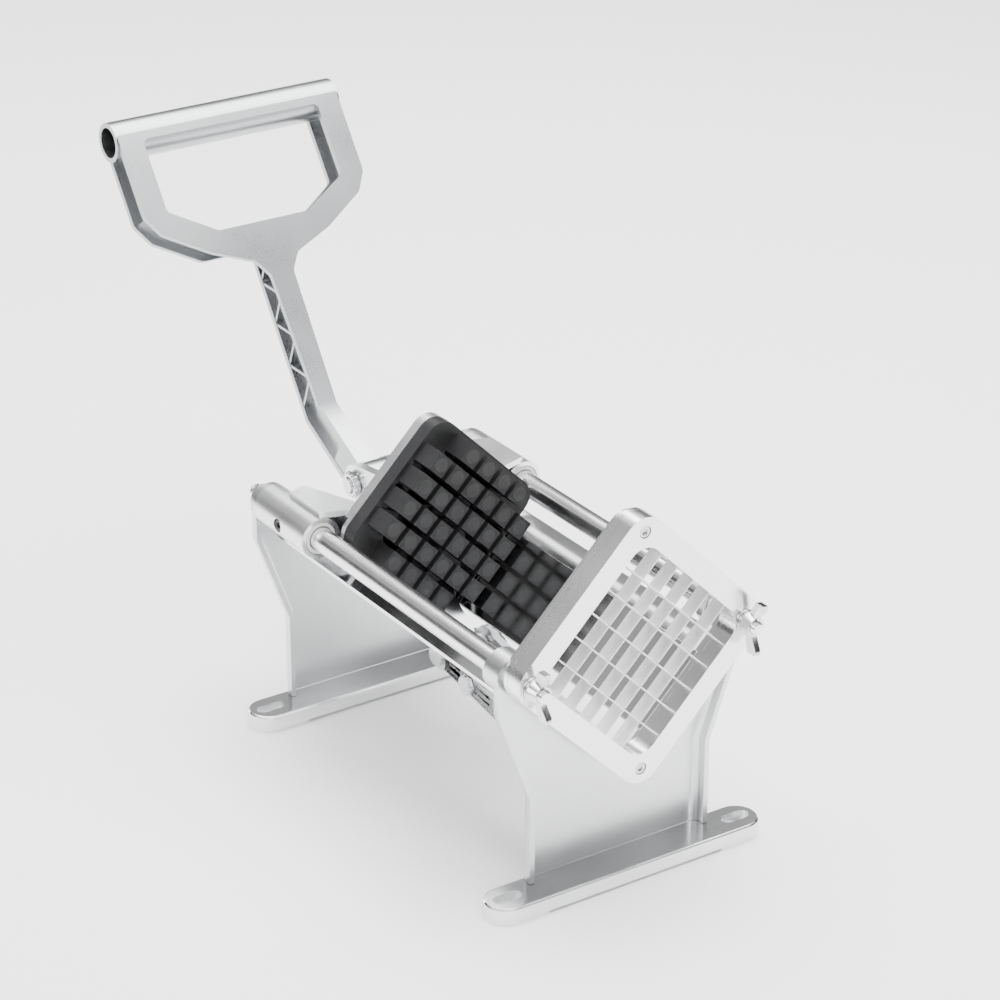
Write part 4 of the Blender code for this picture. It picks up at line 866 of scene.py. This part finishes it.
@dataclass
class CrossBolt:
    """A bolt along X with a six-sided head, or a nut round it.

    Attributes:
        node: The node that it stands for.
        body: The body that carries it.
        shank: Radius of the bolt.
        head: Height of the head along X.
    """

    node: str
    body: Body
    shank: float
    head: float = 0.0027
    tail_ease: float = 0.0004
    face_ease: float = 0.0005
    face_share: float = 0.86
    clearance: float = 0.0003

    def bolt(self, head_at_low: bool) -> None:
        """Build the bolt.

        Args:
            head_at_low: The head is at the end with the smaller X.
        """
        low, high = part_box(self.node)
        radius = (high.z - low.z) / 2
        way = -1 if head_at_low else 1
        outer, tail = (low.x, high.x) if head_at_low else (high.x, low.x)
        neck = outer - way * self.head
        profile = [
            (0.0, tail),
            (self.shank - self.tail_ease, tail),
            (self.shank, tail + way * self.tail_ease),
            (self.shank, neck),
            (radius, neck),
            (radius, outer - way * self.face_ease),
            (radius * self.face_share, outer),
            (0.0, outer),
        ]
        self.place(profile, [0, 0, 0, 0, 1, 1, 0, 0])

    def nut(self) -> None:
        """Build the nut."""
        low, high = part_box(self.node)
        radius = (high.y - low.y) / 2
        bore = self.shank + self.clearance
        loop = [
            (bore, low.x + self.clearance),
            (bore + self.clearance, low.x),
            (radius * self.face_share, low.x),
            (radius, low.x + self.face_ease),
            (radius, high.x - self.face_ease),
            (radius * self.face_share, high.x),
            (bore + self.clearance, high.x),
            (bore, high.x - self.clearance),
        ]
        self.place(loop, [0, 0, 0, 1, 1, 0, 0, 0])

    def place(self, profile: Profile, hexed: list[float]) -> None:
        """Turn the profile about X and seat the piece.

        Args:
            profile: (radius, along) pairs.
            hexed: For each pair, 1 where the piece is six-sided.
        """
        line = centre_line(self.node, Axis.X)
        item = turned(f"{self.node}_hexed", profile, Axis.X, line, 96, hexed)
        seat(item, self.body, PLATED, self.node)


@dataclass
class LeverAndLinks:
    """The cast lever, the anchor links and their bolts."""

    lever_edge: float = 0.0007
    link_edge: float = 0.0005
    round_ease: float = 0.0004
    pivot_radius: float = 0.004
    pivot_head: float = 0.0035
    eye_radius: float = 0.003
    spacer_radius: float = 0.0025
    tube_inner: float = 0.0028
    tube_outer: float = 0.005

    def dress_all(self) -> None:
        """Finish the castings and build the bolts, nuts, pin and spacer."""
        refine(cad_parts["lever"], self.lever_edge)
        dress(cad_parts["lever"], LEVER_CAST)
        for side in SIDES:
            refine(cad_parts[f"link_{side}"], self.link_edge)
            dress(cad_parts[f"link_{side}"], LINK_CAST)
        carriage, stand, links = Body.CARRIAGE, Body.FRAME, Body.LINKS
        CrossBolt("lever_pin", carriage, self.pivot_radius, self.pivot_head).bolt(False)
        CrossBolt("link_front_bolt", stand, self.eye_radius).bolt(True)
        CrossBolt("link_spacer_bolt", links, self.spacer_radius).bolt(True)
        CrossBolt("lever_pin_nut", carriage, self.pivot_radius).nut()
        CrossBolt("link_front_nut", stand, self.eye_radius).nut()
        CrossBolt("link_spacer_nut", links, self.spacer_radius).nut()
        CrossBolt("link_rear_bolt_left", links, self.eye_radius).bolt(True)
        CrossBolt("link_rear_bolt_right", links, self.eye_radius).bolt(False)
        self.tip_pin("lever_tip_pin")
        self.spacer("link_spacer")

    def tip_pin(self, node: str) -> None:
        """Build the pin through the lever's tip."""
        low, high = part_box(node)
        corners = [(0.0, low.x), (self.eye_radius, low.x), (self.eye_radius, high.x), (0.0, high.x)]
        profile = eased(corners, self.round_ease)
        pin = turned(f"{node}_turned", profile, Axis.X, centre_line(node, Axis.X), 64)
        seat(pin, Body.LEVER, PLATED, node)

    def spacer(self, node: str) -> None:
        """Build the tube that holds the links apart."""
        low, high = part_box(node)
        loop = tube(self.tube_inner, self.tube_outer, low.x, high.x, self.round_ease)
        item = turned(f"{node}_turned", loop, Axis.X, centre_line(node, Axis.X), 72)
        seat(item, Body.LINKS, PLATED, node)


# Studio


@dataclass(frozen=True)
class Lamp:
    """A soft rectangular light that faces the machine.

    Attributes:
        name: Object name.
        place: Its position.
        size: Its width and height.
        power: Its strength in watts.
    """

    name: str
    place: tuple[float, float, float]
    size: tuple[float, float]
    power: float


LAMPS = (
    Lamp("top_light", (0.3, 0.1, 1.7), (2.2, 1.8), 112.0),
    Lamp("left_light", (-1.6, 0.3, 0.75), (0.35, 0.9), 9.0),
    Lamp("front_light", (-0.9, -2.2, 1.1), (1.2, 0.5), 30.0),
    Lamp("rear_light", (-0.4, 1.9, 0.35), (0.5, 0.3), 5.0),
)


@dataclass
class Studio:
    """The floor, the lights and the camera of the product shot.

    Attributes:
        eye: The camera's position.
        aim: The point that the camera and the lights face.
        lens: Focal length in millimetres on the sensor's width.
        sensor: Width of the sensor in millimetres.
        clip: Nearest and farthest distance that the camera sees.
        floor_half: Half of the floor's side.
        floor_tone: Grey of the floor.
        floor_gloss: Roughness of the floor.
        nadir: Grey of the sky straight down.
        zenith: Grey of the sky straight up.
        sky: Height from 0 at the bottom to 1 at the top, and the grey there.
    """

    eye: tuple[float, float, float] = (-0.8062, -1.285714, 0.8449)
    aim: tuple[float, float, float] = (0.0, -0.073114, 0.1544)
    lens: float = 120.55
    sensor: float = 36.0
    clip: tuple[float, float] = (0.05, 30.0)
    floor_half: float = 40.0
    floor_tone: float = 0.96
    floor_gloss: float = 0.9
    nadir: float = 0.12
    zenith: float = 2.6
    sky: tuple[tuple[float, float], ...] = (
        (0.15, 0.07), (0.36, 0.09), (0.49, 0.60), (0.58, 0.16), (0.80, 1.6),
    )

    def build(self) -> None:
        """Make everything that isn't part of the machine."""
        self.floor()
        self.world()
        for lamp in LAMPS:
            self.light(lamp)
        self.camera()

    def floor(self) -> None:
        """Lay a wide pale floor."""
        half = self.floor_half
        corners = [[-half, -half, 0], [half, -half, 0], [half, half, 0], [-half, half, 0]]
        points = np.array(corners, float)
        item = smooth_object("studio_floor", points, [(0, 1, 2, 3)])
        material = bpy.data.materials.new("studio_floor_pale")
        material.use_nodes = True
        shader = material.node_tree.nodes["Principled BSDF"]
        shader.inputs["Base Color"].default_value = (*[self.floor_tone] * 3, 1.0)
        shader.inputs["Roughness"].default_value = self.floor_gloss
        item.data.materials.append(material)

    def world(self) -> None:
        """Surround the machine with a sky that is bright overhead and near the horizon."""
        world = bpy.data.worlds.new("studio_world")
        bpy.context.scene.world = world
        world.use_nodes = True
        nodes = world.node_tree.nodes
        links = world.node_tree.links
        place = nodes.new("ShaderNodeTexCoord")
        split = nodes.new("ShaderNodeSeparateXYZ")
        ramp = nodes.new("ShaderNodeValToRGB")
        links.new(place.outputs["Generated"], split.inputs["Vector"])
        links.new(split.outputs["Z"], ramp.inputs["Fac"])
        stops = ramp.color_ramp.elements
        for stop, position, value in zip(stops, (0.0, 1.0), (self.nadir, self.zenith)):
            stop.position = position
            stop.color = (value, value, value, 1)
        for position, value in self.sky:
            stop = stops.new(position)
            stop.color = (value, value, value, 1)
        background = nodes["Background"]
        background.inputs["Strength"].default_value = 1.0
        links.new(ramp.outputs["Color"], background.inputs["Color"])

    def face(self, item: bpy.types.Object, place: tuple[float, float, float]) -> None:
        """Link an object, move it to its place and turn it towards the machine."""
        bpy.context.scene.collection.objects.link(item)
        item.location = place
        way = Vector(self.aim) - Vector(place)
        item.rotation_euler = way.to_track_quat("-Z", "Y").to_euler()

    def light(self, lamp: Lamp) -> None:
        """Hang one light."""
        data = bpy.data.lights.new(lamp.name, "AREA")
        data.shape = "RECTANGLE"
        data.size, data.size_y = lamp.size
        data.energy = lamp.power
        self.face(bpy.data.objects.new(lamp.name, data), lamp.place)

    def camera(self) -> None:
        """Stand the camera where the photograph was taken from."""
        data = bpy.data.cameras.new("product_camera")
        data.lens = self.lens
        data.sensor_width = self.sensor
        data.clip_start, data.clip_end = self.clip
        item = bpy.data.objects.new("product_camera", data)
        self.face(item, self.eye)
        bpy.context.scene.camera = item


def main() -> None:
    """Build the machine's looks, sub-assembly by sub-assembly."""
    logging.basicConfig(level=logging.INFO, format="%(message)s")
    origin = centre_of("front_foot").y
    Stands().dress_all()
    BladeHead().dress_all()
    Rods().dress_all(origin)
    Bed().dress_all()
    Carriage().dress_all()
    LeverAndLinks().dress_all()
    Studio().build()


if __name__ == "__main__":
    main()
